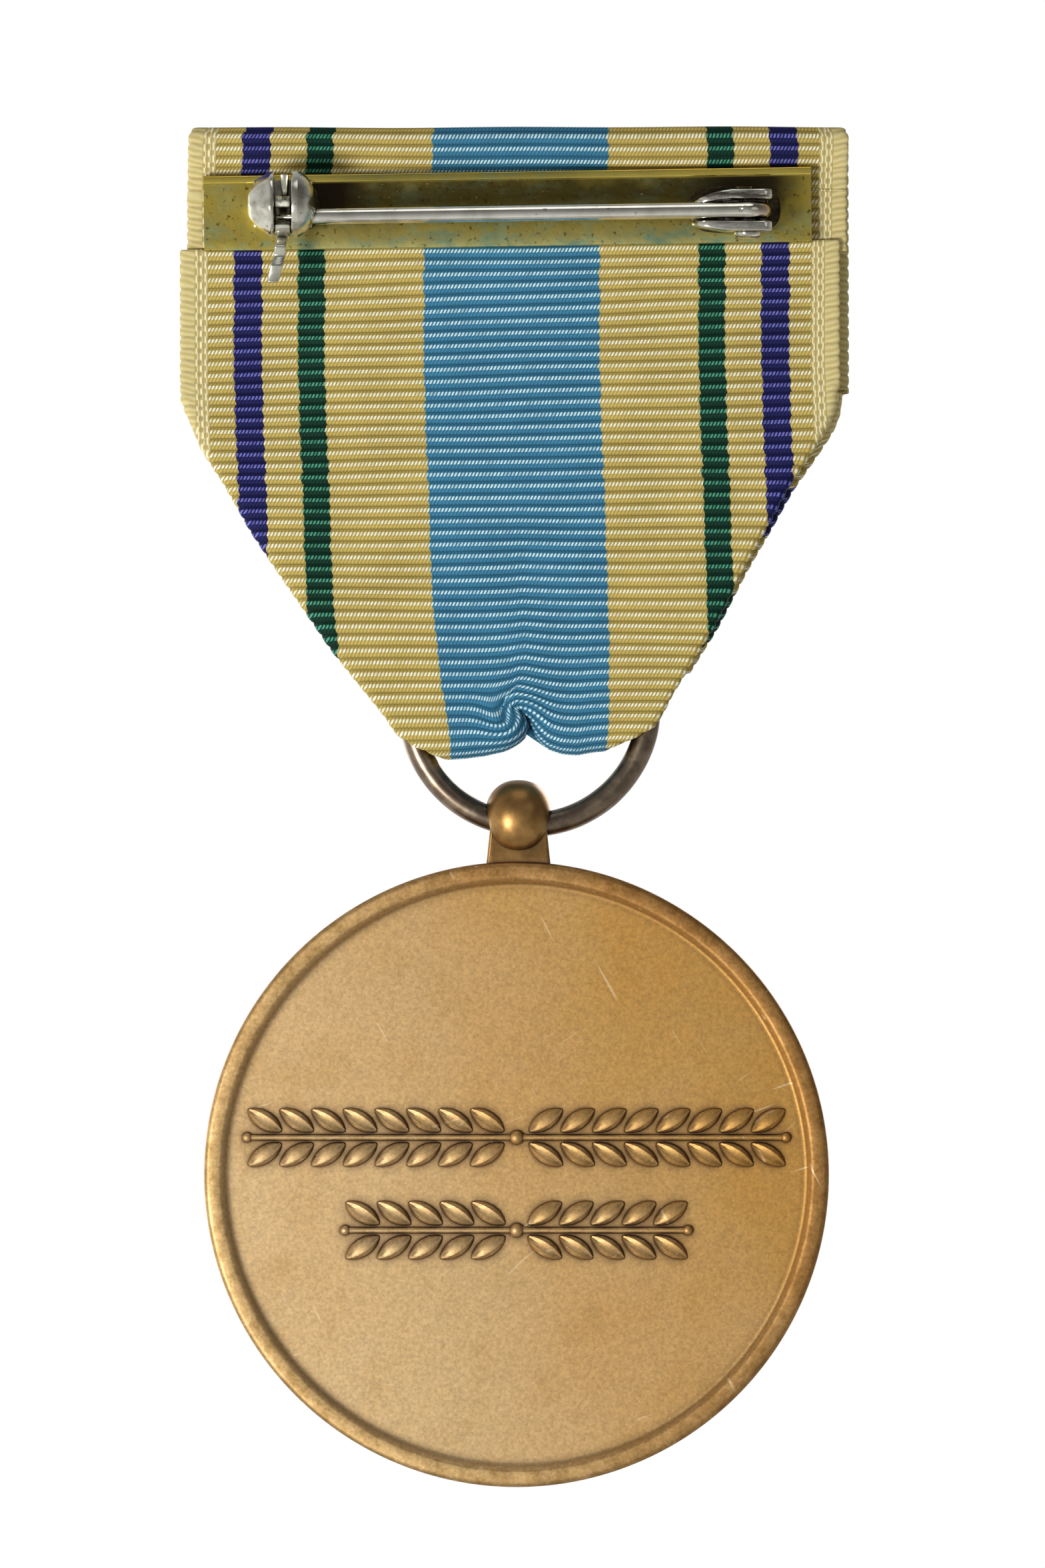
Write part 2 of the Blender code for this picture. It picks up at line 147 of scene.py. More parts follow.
class Recipe:  # a small wrapper that lets a material read as a list of steps
    def __init__(self, name):
        self.material = bpy.data.materials.new(name)
        self.material.use_nodes = True
        self.nodes = self.material.node_tree.nodes
        self.links = self.material.node_tree.links
        self.shader = self.nodes["Principled BSDF"]
        self.coords = self.nodes.new("ShaderNodeTexCoord").outputs["Object"]

    def parts(self, vector):  # its X, Y and Z
        node = self.nodes.new("ShaderNodeSeparateXYZ")
        self.put(node.inputs[0], vector)
        return node.outputs

    def put(self, socket, value):
        if isinstance(value, bpy.types.NodeSocket):
            self.links.new(value, socket)
        elif isinstance(value, tuple) and socket.type == "RGBA" and len(value) == 3:
            socket.default_value = (*value, 1)
        else:
            socket.default_value = value

    def math(self, kind, a, b=0.0):
        node = self.nodes.new("ShaderNodeMath")
        node.operation = kind
        for socket, value in zip(node.inputs, (a, b)):
            self.put(socket, value)
        return node.outputs[0]

    def plus(self, a, b):
        return self.math("ADD", a, b)

    def minus(self, a, b):
        return self.math("SUBTRACT", a, b)

    def times(self, a, b):
        return self.math("MULTIPLY", a, b)

    def over(self, a, b):
        return self.math("DIVIDE", a, b)

    def stretch(self, vector, scale):  # the coordinates scaled, in mm when scale is 1000
        node = self.nodes.new("ShaderNodeMapping")
        self.put(node.inputs["Vector"], vector)
        node.inputs["Scale"].default_value = scale if isinstance(scale, tuple) else (scale,) * 3
        return node.outputs[0]

    def noise(self, vector, scale, detail=3.0, rough=0.55):
        node = self.nodes.new("ShaderNodeTexNoise")
        self.put(node.inputs["Vector"], vector)
        node.inputs["Scale"].default_value = scale
        node.inputs["Detail"].default_value = detail
        node.inputs["Roughness"].default_value = rough
        return node.outputs["Fac"]

    def ramp(self, value, *stops, hold=False):  # stops are (place, grey or colour)
        node = self.nodes.new("ShaderNodeValToRGB")
        self.put(node.inputs[0], value)
        node.color_ramp.interpolation = "CONSTANT" if hold else "LINEAR"
        marks = node.color_ramp.elements
        while len(marks) < len(stops):
            marks.new(1)
        for mark, (place, colour) in zip(marks, stops):
            mark.position = place
            mark.color = (*colour, 1) if isinstance(colour, tuple) else (colour, colour, colour, 1)
        return node.outputs[0]

    def fade(self, value, start, end):  # 0 up to start, 1 from end on
        return self.ramp(value, (start, 0.0), (end, 1.0))

    def mix(self, share, a, b, kind="MIX"):
        node = self.nodes.new("ShaderNodeMix")
        node.data_type = "RGBA"
        node.blend_type = kind
        self.put(node.inputs[0], share)
        self.put(node.inputs[6], a)
        self.put(node.inputs[7], b)
        return node.outputs[2]

    def recess(self, reach):  # 1 in the open, 0 deep in a corner
        node = self.nodes.new("ShaderNodeAmbientOcclusion")
        node.samples = 8
        node.inputs["Distance"].default_value = reach * mm
        return node.outputs["AO"]

    def bump(self, height, depth, strength):
        node = self.nodes.new("ShaderNodeBump")
        self.put(node.inputs["Height"], height)
        node.inputs["Distance"].default_value = depth * mm
        node.inputs["Strength"].default_value = strength
        return node.outputs[0]

    def finish(self, colour, rough, metal, normal, **fixed):
        self.put(self.shader.inputs["Base Color"], colour)
        self.put(self.shader.inputs["Roughness"], rough)
        self.shader.inputs["Metallic"].default_value = metal
        self.links.new(normal, self.shader.inputs["Normal"])
        for name, value in fixed.items():
            self.shader.inputs[name.replace("_", " ")].default_value = value
        return self.material


# finishes


def struckBronze():
    r = Recipe("struckBronze")
    at = r.stretch(r.coords, 1000.0)
    split = r.parts(at)
    cloud = r.fade(r.noise(at, 0.11, 4), 0.35, 0.7)
    grain = r.noise(at, 5.5, 4, 0.7)
    x, z = split["X"], r.plus(split["Z"], 54.03)
    # painted shade: the disc's colour runs lighter towards the left and the bottom and darker towards the
    # right and the top, as the key light falls; the cloud adds random tone
    paintedSideShadeAndCloud = r.plus(r.times(x, 0.032), r.times(z, 0.016))
    paintedSideShadeAndCloud = r.plus(r.plus(paintedSideShadeAndCloud, 0.5), r.times(r.minus(cloud, 0.5), 0.3))
    colour = r.mix(r.fade(paintedSideShadeAndCloud, 0.0, 1.0), (0.65, 0.455, 0.232), (0.54, 0.295, 0.078))
    colour = r.mix(r.ramp(r.noise(at, 0.32, 6, 0.7), (0.5, 0.0), (0.7, 0.45)), colour, (0.5, 0.3, 0.1))
    away = r.math("SQRT", r.plus(r.times(x, x), r.times(z, z)))
    onRim = r.fade(r.minus(away, 16.0), 0.42, 0.6)
    rubbed = r.mix(r.fade(r.noise(at, 1.1, 5, 0.7), 0.4, 0.66), (0.6, 0.4, 0.178), (0.38, 0.235, 0.086))
    colour = r.mix(onRim, colour, rubbed)
    # painted shade on the rim: lighter on the left, darker on the right
    paintedRimShade = r.ramp(paintedSideShadeAndCloud, (0.1, 1.15), (0.9, (0.76, 0.6, 0.42)))
    colour = r.mix(onRim, colour, r.mix(1.0, colour, paintedRimShade, "MULTIPLY"))
    colour = r.mix(1.0, colour, r.ramp(grain, (0.3, 0.76), (0.7, 1.2)), "MULTIPLY")
    pits = r.fade(r.noise(at, 2.6, 5, 0.7), 0.66, 0.72)
    colour = r.mix(r.times(pits, 0.45), colour, (0.2, 0.11, 0.05))
    # darker in the hollows: patina in the relief's hollows together with painted shade in the corners
    hollowPatinaAndShade = r.ramp(r.recess(0.6), (0.5, 0.0), (0.78, 0.35), (1.0, 1.0))
    colour = r.mix(hollowPatinaAndShade, (0.1, 0.055, 0.03), colour)
    for turn in (0.5, -0.9, 1.9):  # fine handling scratches in three directions
        spin = r.nodes.new("ShaderNodeMapping")
        r.put(spin.inputs["Vector"], r.coords)
        spin.inputs["Rotation"].default_value = (0, turn, 0)
        scratchAt = r.stretch(spin.outputs[0], (2600.0, 2600.0, 210.0))
        scratch = r.ramp(r.noise(scratchAt, 1.0, 1), (0.74, 0.0), (0.78, 0.4))
        colour = r.mix(scratch, colour, (0.95, 0.76, 0.48))
    lug = r.fade(r.over(r.plus(split["Z"], 38.0), 3.0), 0.42, 0.6)
    aged = r.mix(r.fade(r.noise(at, 0.9, 5), 0.4, 0.66), (0.5, 0.28, 0.09), (0.26, 0.14, 0.045))
    # painted shade: the upper part of the ball darker
    paintedTopShade = r.ramp(r.over(r.plus(split["Z"], 35.0), 3.0), (0.2, 0.0), (0.75, 0.75))
    aged = r.mix(paintedTopShade, aged, (0.27, 0.14, 0.045))
    # painted shade: near black in the notches beside the lug
    colour = r.mix(lug, colour, r.mix(hollowPatinaAndShade, (0.05, 0.03, 0.02), aged))
    rough = r.mix(lug, r.ramp(cloud, (0.0, 0.5), (1.0, 0.57)), (0.36, 0.36, 0.36))
    return r.finish(colour, rough, 0.92, r.bump(grain, 0.006, 0.8))


def darkWire():
    r = Recipe("darkWire")
    at = r.stretch(r.coords, 1000.0)
    worn = r.fade(r.noise(at, 0.9, 5), 0.45, 0.75)
    colour = r.mix(worn, (0.19, 0.14, 0.1), (0.36, 0.28, 0.19))
    spots = r.fade(r.noise(at, 2.0, 4), 0.56, 0.75)
    colour = r.mix(r.times(spots, 0.5), colour, (0.09, 0.06, 0.04))
    rough = r.ramp(worn, (0.0, 0.3), (1.0, 0.4))
    return r.finish(colour, rough, 1.0, r.bump(r.noise(at, 2.0, 3), 0.006, 0.5))


def oldBrass():
    r = Recipe("oldBrass")
    at = r.stretch(r.coords, 1000.0)
    split = r.parts(at)
    x, z = split["X"], split["Z"]
    level = r.plus(z, r.times(x, -0.0157))  # the plate sits a little askew
    blotch = r.noise(at, 0.45, 6, 0.65)
    wander = r.times(r.minus(blotch, 0.5), 2.6)
    share = r.over(r.plus(r.plus(level, wander), 2.1), 4.2)
    # dark band across the plate: heat stain together with painted shadow under the hem and above the pin,
    # lighter towards the bottom
    stainAndShadowBand = r.ramp(share, (0.0, (0.5, 0.47, 0.18)), (0.26, (0.4, 0.32, 0.08)), (0.46, (0.17, 0.13, 0.028)),
                  (0.8, (0.1, 0.078, 0.02)), (1.0, (0.2, 0.15, 0.03)))
    onLength = r.over(r.plus(x, 18.0), 36.0)  # 0 at the left end, 1 at the right
    ends = r.ramp(onLength, (0.0, 1.0), (0.1, 0.9), (0.2, 0.0), (0.86, 0.0), (0.92, 0.85), (1.0, 1.0))
    golden = r.mix(r.fade(blotch, 0.35, 0.65), (0.62, 0.46, 0.07), (0.36, 0.3, 0.08))
    colour = r.mix(ends, stainAndShadowBand, golden)
    green = r.fade(r.noise(r.stretch(r.coords, (500.0, 1000.0, 1100.0)), 0.9, 5, 0.7), 0.48, 0.62)
    low = r.ramp(r.over(r.plus(level, 2.1), 4.2), (0.02, 1.0), (0.4, 0.12), (0.9, 0.2))
    colour = r.mix(r.times(green, low), colour, (0.24, 0.38, 0.24))
    dots = r.fade(r.noise(at, 3.2, 4), 0.6, 0.67)
    colour = r.mix(r.times(dots, 0.75), colour, (0.06, 0.042, 0.015))
    # painted glints: small bright specks
    paintedGlint = r.fade(r.noise(at, 5.5, 2), 0.68, 0.73)
    colour = r.mix(r.times(paintedGlint, 0.6), colour, (0.75, 0.65, 0.3))
    bright = r.fade(r.over(r.plus(level, 2.2), 4.4), 0.862, 0.88)
    streaks = r.noise(r.stretch(r.coords, (250.0, 1000.0, 3000.0)), 0.7, 4)
    strip = r.mix(r.fade(streaks, 0.4, 0.65), (1.0, 0.78, 0.15), (0.82, 0.66, 0.16))
    dulled = r.ramp(onLength, (0.17, 0.0), (0.28, 0.7), (0.58, 0.7), (0.68, 0.0))
    strip = r.mix(dulled, strip, r.mix(green, (0.5, 0.42, 0.11), (0.34, 0.42, 0.22)))
    colour = r.mix(bright, colour, strip)
    # painted shadow: near black on the plate to the right of the catch and around the hinge, where those
    # parts shade it
    paintedShadowX = r.ramp(onLength, (0.14, 0.0), (0.18, 1.0), (0.23, 0.95), (0.29, 0.0),
                  (0.74, 0.0), (0.82, 0.9), (0.9, 0.9), (0.95, 0.0))
    paintedShadowZ = r.ramp(share, (0.35, 0.1), (0.55, 1.0))
    paintedShadow = r.times(r.times(paintedShadowX, paintedShadowZ), r.minus(1.0, bright))
    colour = r.mix(paintedShadow, colour, (0.03, 0.022, 0.012))
    rough = r.mix(bright, r.ramp(blotch, (0.35, 0.3), (0.7, 0.45)), (0.14, 0.14, 0.14))
    return r.finish(colour, rough, 1.0, r.bump(r.noise(at, 1.3, 5), 0.03, 0.5))


def brightSteel():
    r = Recipe("brightSteel")
    at = r.stretch(r.coords, 1000.0)
    split = r.parts(at)
    drawn = r.noise(r.stretch(r.coords, (300.0, 5000.0, 5000.0)), 1.0, 3)
    colour = r.mix(r.fade(r.noise(at, 0.5, 4), 0.4, 0.7), (0.94, 0.92, 0.82), (0.68, 0.65, 0.54))
    warm = r.ramp(r.over(r.minus(split["X"], 12.6), 1.6), (0.25, 0.0), (0.8, 0.8))
    off = r.math("ABSOLUTE", r.plus(split["Z"], 0.2))
    onPin = r.math("LESS_THAN", off, 0.52)
    colour = r.mix(r.times(warm, onPin), colour, (0.42, 0.27, 0.15))
    # painted dark reflections and shade on the hinge ears, stronger towards the upper ear
    paintedDarkReflection = r.fade(r.noise(r.stretch(r.coords, (600.0, 1000.0, 2600.0)), 1.0, 5, 0.65), 0.42, 0.56)
    share = r.ramp(r.plus(split["Z"], 0.4), (0.0, 0.35), (0.5, 0.9))
    paintedDarkReflection = r.times(r.times(paintedDarkReflection, share), r.minus(1.0, onPin))
    colour = r.mix(paintedDarkReflection, colour, (0.12, 0.1, 0.07))
    spots = r.ramp(r.noise(at, 2.6, 5), (0.66, 0.0), (0.72, 0.6))
    colour = r.mix(spots, colour, (0.25, 0.19, 0.12))
    # painted shade: near black in the corners and gaps
    colour = r.mix(r.fade(r.recess(0.45), 0.3, 0.8), (0.04, 0.03, 0.02), colour)
    return r.finish(colour, r.ramp(drawn, (0.3, 0.09), (0.7, 0.15)), 1.0, r.bump(drawn, 0.003, 0.5))


def satinSteel():
    r = Recipe("satinSteel")
    at = r.stretch(r.coords, 1000.0)
    worn = r.fade(r.noise(at, 1.4, 5), 0.42, 0.68)
    colour = r.mix(worn, (0.78, 0.77, 0.65), (0.46, 0.44, 0.35))
    spots = r.ramp(r.noise(at, 2.8, 5, 0.65), (0.63, 0.0), (0.68, 0.8))
    colour = r.mix(spots, colour, (0.22, 0.14, 0.1))
    # painted shade: near black in the corners and gaps
    colour = r.mix(r.fade(r.recess(0.5), 0.25, 0.75), (0.05, 0.035, 0.02), colour)
    rough = r.ramp(worn, (0.0, 0.15), (1.0, 0.27))
    return r.finish(colour, rough, 1.0, r.bump(r.noise(at, 4.0, 3), 0.008, 0.6))


def burntSolderAndShade():
    r = Recipe("burntSolderAndShade")
    at = r.stretch(r.coords, 1000.0)
    share = r.fade(r.noise(at, 1.3, 6, 0.65), 0.44, 0.64)
    # near black: burnt solder, kept this dark to also serve as painted shade round the hinge and the catch
    colour = r.mix(share, (0.02, 0.015, 0.01), (0.09, 0.07, 0.03))
    # painted glints: small bright specks
    paintedGlint = r.fade(r.noise(at, 5.5, 3), 0.7, 0.74)
    colour = r.mix(paintedGlint, colour, (0.7, 0.6, 0.25))
    rough = r.ramp(share, (0.0, 0.5), (1.0, 0.3))
    return r.finish(colour, rough, 0.9, r.bump(r.noise(at, 3.0, 5), 0.06, 0.8))


ribbonLook = {
    "ribPitch": 0.66,
    "threadPitch": 0.2,
    "stripeShift": 0.1,
    # from the middle out, as (thread, where it ends)
    "stripes": (
        ("blue", 4.87), ("sand", 10.4), ("green", 11.9), ("sand", 13.95), ("purple", 15.47), ("sand", 20.0),
    ),
    "body": {"sand": (0.54, 0.405, 0.105), "blue": (0.045, 0.2, 0.33),
             "green": (0.004, 0.035, 0.019), "purple": (0.012, 0.013, 0.085)},
    # painted highlight: the colour of the bright line along each rib's crest, per stripe
    "paintedCrestHighlight": {"sand": (1.0, 1.0, 0.8), "blue": (0.7, 0.95, 1.0),
              "green": (0.1, 0.4, 0.26), "purple": (0.2, 0.2, 0.62)},
    "ladder": (16.9, 17.65),
    "uSpan": 40.0,
    "vSpan": 80.0,
}


def wovenRibbon():
    look = ribbonLook
    r = Recipe("wovenRibbon")
    uv = r.nodes.new("ShaderNodeUVMap")
    uv.uv_map = "weave"
    split = r.parts(uv.outputs[0])
    across = r.times(split["X"], look["uSpan"])
    across = r.minus(across, look["uSpan"] / 2)
    shifted = r.minus(across, look["stripeShift"])
    along = r.over(r.times(split["Y"], look["vSpan"]), look["ribPitch"])
    rib = r.math("FLOOR", along)
    phase = r.math("FRACT", along)
    jitter = r.nodes.new("ShaderNodeTexWhiteNoise")
    jitter.noise_dimensions = "1D"
    r.links.new(rib, jitter.inputs["W"])
    shake = r.times(r.minus(jitter.outputs["Value"], 0.5), 0.1)
    step = r.times(r.minus(r.math("PINGPONG", phase, 0.5), 0.25), 0.2)
    away = r.over(r.math("ABSOLUTE", r.plus(shifted, r.plus(shake, step))), 20.0)
    stops = [0.0] + [edge / 20.0 for _, edge in look["stripes"][:-1]]
    names = [name for name, _ in look["stripes"]]
    base = r.ramp(away, *[(p, look["body"][n]) for p, n in zip(stops, names)], hold=True)
    shine = r.ramp(away, *[(p, look["paintedCrestHighlight"][n]) for p, n in zip(stops, names)], hold=True)
    thread = r.over(across, look["threadPitch"])
    slant = r.plus(thread, r.times(phase, 1.6))
    strand = r.math("PINGPONG", slant, 0.5)
    grid = r.nodes.new("ShaderNodeCombineXYZ")
    r.links.new(r.math("FLOOR", slant), grid.inputs[0])
    r.links.new(rib, grid.inputs[1])
    speckle = r.nodes.new("ShaderNodeTexWhiteNoise")
    r.links.new(grid.outputs[0], speckle.inputs["Vector"])
    at = r.stretch(r.coords, 1000.0)
    uneven = r.noise(at, 0.35, 3)
    base = r.mix(1.0, base, r.ramp(uneven, (0.3, 0.9), (0.7, 1.08)), "MULTIPLY")
    # painted shade: each rib darker towards the grooves on both sides
    paintedRibShade = r.ramp(phase, (0.0, 0.5), (0.1, 0.76), (0.25, 0.95), (0.6, 0.98), (0.8, 1.06), (0.92, 0.85),
                    (1.0, 0.5))
    base = r.mix(1.0, base, paintedRibShade, "MULTIPLY")
    base = r.mix(1.0, base, r.ramp(strand, (0.0, 0.62), (0.32, 1.1)), "MULTIPLY")
    # painted highlight: a bright dashed line along each rib's crest
    line = r.ramp(r.math("ABSOLUTE", r.minus(phase, 0.42)), (0.11, 1.0), (0.19, 0.0))
    dash = r.fade(strand, 0.12, 0.36)
    lit = r.times(line, r.times(dash, r.ramp(speckle.outputs["Value"], (0.0, 0.6), (0.6, 1.0))))
    colour = r.mix(lit, base, shine)
    # the plain corded edge, and the open band beside it
    edge = r.math("ABSOLUTE", across)
    wobble = r.times(r.noise(at, 1.3, 3), 0.9)
    twist = r.plus(r.times(edge, 0.75), r.times(along, 2.0))
    twist = r.math("PINGPONG", r.plus(twist, wobble), 0.5)
    # painted shade: each twisted strand of the edge cord runs from dark to light across its round, and the
    # cord darkens between ribs
    cord = r.mix(r.fade(twist, 0.0, 0.5), (0.56, 0.44, 0.17), (0.74, 0.64, 0.31))
    cord = r.mix(1.0, cord, r.ramp(phase, (0.0, 0.84), (0.2, 1.0), (0.85, 1.05), (1.0, 0.84)), "MULTIPLY")
    first, last = look["ladder"]
    inEdge = r.math("GREATER_THAN", edge, last)
    inLadder = r.times(r.math("GREATER_THAN", edge, first), r.math("LESS_THAN", edge, last))
    rail = r.math("PINGPONG", r.over(r.minus(edge, first), 0.25), 0.5)
    rung = r.plus(r.times(along, 2.0), r.math("FLOOR", r.over(edge, 0.25)))
    rung = r.math("PINGPONG", r.plus(rung, r.times(wobble, 1.2)), 1.0)
    knot = r.times(r.ramp(rail, (0.1, 0.15), (0.3, 1.0)), r.ramp(rung, (0.3, 0.15), (0.6, 1.0)))
    ladder = r.mix(knot, (0.46, 0.34, 0.1), (0.95, 0.88, 0.55))
    colour = r.mix(inLadder, colour, ladder)
    colour = r.mix(inEdge, colour, cord)
    height = r.times(strand, r.ramp(r.math("PINGPONG", phase, 0.5), (0.0, 0.3), (0.25, 1.0)))
    height = r.mix(inEdge, height, r.times(twist, 0.5))
    height = r.mix(inLadder, height, knot)
    gloss = {"Sheen_Weight": 0.03, "Sheen_Roughness": 0.4, "Specular_IOR_Level": 0.09}
    return r.finish(colour, 0.55, 0.0, r.bump(height, 0.05, 0.7), **gloss)


finishes = {
    "bronze": struckBronze(),
    "darkWire": darkWire(),
    "oldBrass": oldBrass(),
    "brightSteel": brightSteel(),
    "satinSteel": satinSteel(),
    "solder": burntSolderAndShade(),
    "ribbon": wovenRibbon(),
}
print("finishes made:", len(finishes))


# modelling helpers


def only(piece):
    bpy.ops.object.select_all(action="DESELECT")
    piece.select_set(True)
    bpy.context.view_layer.objects.active = piece


def added(kind, name, place=(0, 0, 0), turn=(0, 0, 0), **settings):  # a primitive, in mm and degrees
    lengths = ("radius", "radius1", "radius2", "depth", "size", "major_radius", "minor_radius")
    settings = {key: value * mm if key in lengths else value for key, value in settings.items()}
    bpy.ops.object.select_all(action="DESELECT")
    add = getattr(bpy.ops.mesh, "primitive_" + kind + "_add")
    add(location=Vector(place) * mm, rotation=[math.radians(a) for a in turn], **settings)
    piece = bpy.context.object
    piece.name = name
    piece.data.name = name
    bpy.ops.object.transform_apply(location=True, rotation=True, scale=True)
    return piece


def rod(name, place, radius, length, sides, axis="X"):
    turn = {"X": (0, 90, 0), "Y": (90, 0, 0), "Z": (0, 0, 0)}[axis]
    return added("cylinder", name, place, turn, vertices=sides, radius=radius, depth=length)


def block(name, low, high):
    low, high = Vector(low), Vector(high)
    return added("cube", name, (low + high) / 2, size=1, scale=high - low)


def edit(piece, kind="FACE"):
    only(piece)
    bpy.ops.object.mode_set(mode="EDIT")
    bpy.ops.mesh.select_mode(type=kind)


def leave():
    bpy.ops.object.mode_set(mode="OBJECT")


def pickAll():
    bpy.ops.mesh.select_all(action="SELECT")


def pickKind(kind):
    bpy.ops.mesh.select_mode(type=kind)


def insetBy(thickness, depth=0.0):
    bpy.ops.mesh.inset(thickness=thickness * mm, depth=depth * mm)


def cutAt(place, normal):  # an extra edge loop where a plane meets all of the piece
    pickAll()
    bpy.ops.mesh.bisect(plane_co=Vector(place) * mm, plane_no=normal)


def pickFaces(piece, test):  # test(centre in mm, normal)
    shape = bmesh.from_edit_mesh(piece.data)
    for face in shape.faces:
        face.select_set(bool(test(face.calc_center_median() / mm, face.normal)))
    bmesh.update_edit_mesh(piece.data)


def pickEdges(piece, test):  # test(one end, other end), in mm
    shape = bmesh.from_edit_mesh(piece.data)
    for edge in shape.edges:
        edge.select_set(bool(test(edge.verts[0].co / mm, edge.verts[1].co / mm)))
    bmesh.update_edit_mesh(piece.data)


def pickVerts(piece, test):
    shape = bmesh.from_edit_mesh(piece.data)
    for vert in shape.verts:
        vert.select_set(bool(test(vert.co / mm)))
    shape.select_flush(True)
    bmesh.update_edit_mesh(piece.data)


def push(x=0.0, y=0.0, z=0.0):
    bpy.ops.transform.translate(value=(x * mm, y * mm, z * mm))


def stretch(centre, x=1.0, y=1.0, z=1.0):
    bpy.ops.transform.resize(value=(x, y, z), center_override=Vector(centre) * mm)


def pull(x=0.0, y=0.0, z=0.0):  # extrudes what is picked
    bpy.ops.mesh.extrude_region_move(TRANSFORM_OT_translate={"value": (x * mm, y * mm, z * mm)})


def soften(width, segments=3, profile=0.5):
    bpy.ops.mesh.bevel(offset=width * mm, segments=segments, profile=profile, affect="EDGES")


def modify(piece, kind, **settings):
    only(piece)
    bpy.ops.object.modifier_add(type=kind)
    modifier = piece.modifiers[-1]
    for key, value in settings.items():
        setattr(modifier, key, value)
    bpy.ops.object.modifier_apply(modifier=modifier.name)
    return piece


def rounded(piece, width, segments, sharpest=35):
    settings = {"limit_method": "ANGLE", "angle_limit": math.radians(sharpest)}
    return modify(piece, "BEVEL", width=width * mm, segments=segments, **settings)


def combined(piece, other, operation="UNION"):
    modify(piece, "BOOLEAN", object=other, operation=operation, solver="EXACT")
    bpy.data.objects.remove(other)
    return piece


def copyOf(piece, name):
    only(piece)
    bpy.ops.object.duplicate()
    twin = bpy.context.object
    twin.name = name
    return twin


def joined(pieces, name):
    bpy.ops.object.select_all(action="DESELECT")
    for piece in pieces:
        piece.select_set(True)
    bpy.context.view_layer.objects.active = pieces[0]
    bpy.ops.object.join()
    pieces[0].name = name
    return pieces[0]


def moved(piece, place=(0, 0, 0), turnY=0.0, about=(0, 0, 0)):  # turns about Y, then shifts
    cosine, sine = math.cos(math.radians(turnY)), math.sin(math.radians(turnY))
    for vert in piece.data.vertices:
        x, y, z = vert.co / mm - Vector(about)
        spun = Vector((x * cosine + z * sine, y, z * cosine - x * sine))
        vert.co = (spun + Vector(about) + Vector(place)) * mm
    return piece


def dented(piece, name, size, strength, level=0.5, **settings):  # bumps of about this size and strength
    texture = bpy.data.textures.new(name, "CLOUDS")
    texture.noise_scale = size * mm
    return modify(piece, "DISPLACE", texture=texture, strength=strength * mm, mid_level=level, **settings)


def done(piece, finish, body, slotName, *nodes, angle=40, merge=True):
    if merge:
        edit(piece, "VERT")
        bpy.ops.mesh.select_all(action="SELECT")
        bpy.ops.mesh.remove_doubles(threshold=0.0005 * mm)
        bpy.ops.mesh.normals_make_consistent(inside=False)
        leave()
    only(piece)
    bpy.ops.object.shade_smooth_by_angle(angle=math.radians(angle))
    piece.data.materials.clear()
    piece.data.materials.append(finishes[finish])
    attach(piece, body)
    if nodes:
        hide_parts(*nodes)
    print("made", piece.name, len(piece.data.polygons), "faces")
    return piece


# the ribbon

ribbon = {
    "halfWidth": 18.45,
    "halfCloth": 0.175,
    "ribDepth": 0.085,
    "ribProfile": (0.0, 0.72, 0.93, 1.0, 0.93, 0.72),
    "bendRadius": 0.21,
    "flap": 3.4,
    "panelColumns": 44,
    "bendColumns": 6,
    "flapColumns": 3,
    "edgeBand": 0.95,
    "scallop": 0.08,
    "foldFrom": -10.2,  # the z below which the sides are folded in
    "bottom": 30.9,
    "frontShift": 0.25,  # the front's folds lie this far to the right, down to z of shiftEnd
    "shiftEnd": -26,
    "fold": {"y": 1.9, "z": -29.15, "radius": 1.575},
    # the cloth's middle, as (y, z): down the rear panel, up the front, over the bar, down behind the plate
    "rear": ((0.66, -1.95), (0.665, -2.4), (0.675, -3.5), (0.675, -7), (0.475, -14), (0.325, -20)),
    "front": ((3.475, -20), (3.025, -15), (2.375, -8), (2.275, -2.8)),
    "tail": ((0.375, 3.1), (0.5, 2.75), (0.75, 2.4), (0.8, 2.0), (0.85, 0), (0.985, -1.6), (1.06, -2.7)),
    "top": {"front": (1.75, 3.95), "rear": (0.9, 3.95), "radius": 0.525},
    # where the side is folded in, as (z, x)
    "leftFold": (
        (-10.2, -18.85), (-11.6, -18.3), (-13.1, -17.7), (-15.0, -16.5), (-17.8, -15.0), (-22.2, -12.1),
        (-24.5, -10.5), (-26.7, -8.75), (-28.4, -7.4), (-29.4, -6.75), (-30.05, -5.95), (-30.5, -5.1),
        (-30.9, -4.2),
    ),
    "rightFold": (
        (-10.2, 18.1), (-11.4, 17.95), (-12.3, 17.6), (-13.2, 17.0), (-15.5, 15.4), (-19.4, 13.2),
        (-23.4, 11.1), (-27.3, 8.8), (-28.4, 8.3), (-29.3, 7.8), (-30.0, 6.9), (-30.5, 6.0), (-30.9, 5.2),
    ),
    "lift": (  # how far the bottom edge is drawn up, as (x, mm)
        (-4.2, 0.05), (-2.8, 0.15), (-1.8, 0.3), (-0.86, 0.6), (-0.1, 1.1), (0.26, 1.85), (0.9, 1.35),
        (1.9, 0.64), (2.6, 0.4), (3.4, 0.34), (4.2, 0.5), (5.6, 0.65),
    ),
    "liftReach": 3.4,
    # the strip's middle, as (distance along it, x)
    "centre": (
        (0, -0.37), (7, -0.37), (19, 0.05), (28, 0.6), (34, 0.5), (45, 0.2), (66, 0.15), (71, 0.03),
        (90, 0.03),
    ),
    "gather": {"half": 5.0, "draw": 0.55, "from": 20.0, "to": 30.0},  # drawn together at the ring
    # the slope of the rear panel's ribs, as (z, slope)
    "skew": ((-31, 0.0), (-22, 0.0), (-6, 0.03), (-4.5, 0.028), (-2.4, 0.0157)),
    "twist": {"centre": (-0.25, -28.35), "turn": 72, "reach": 1.15},
}


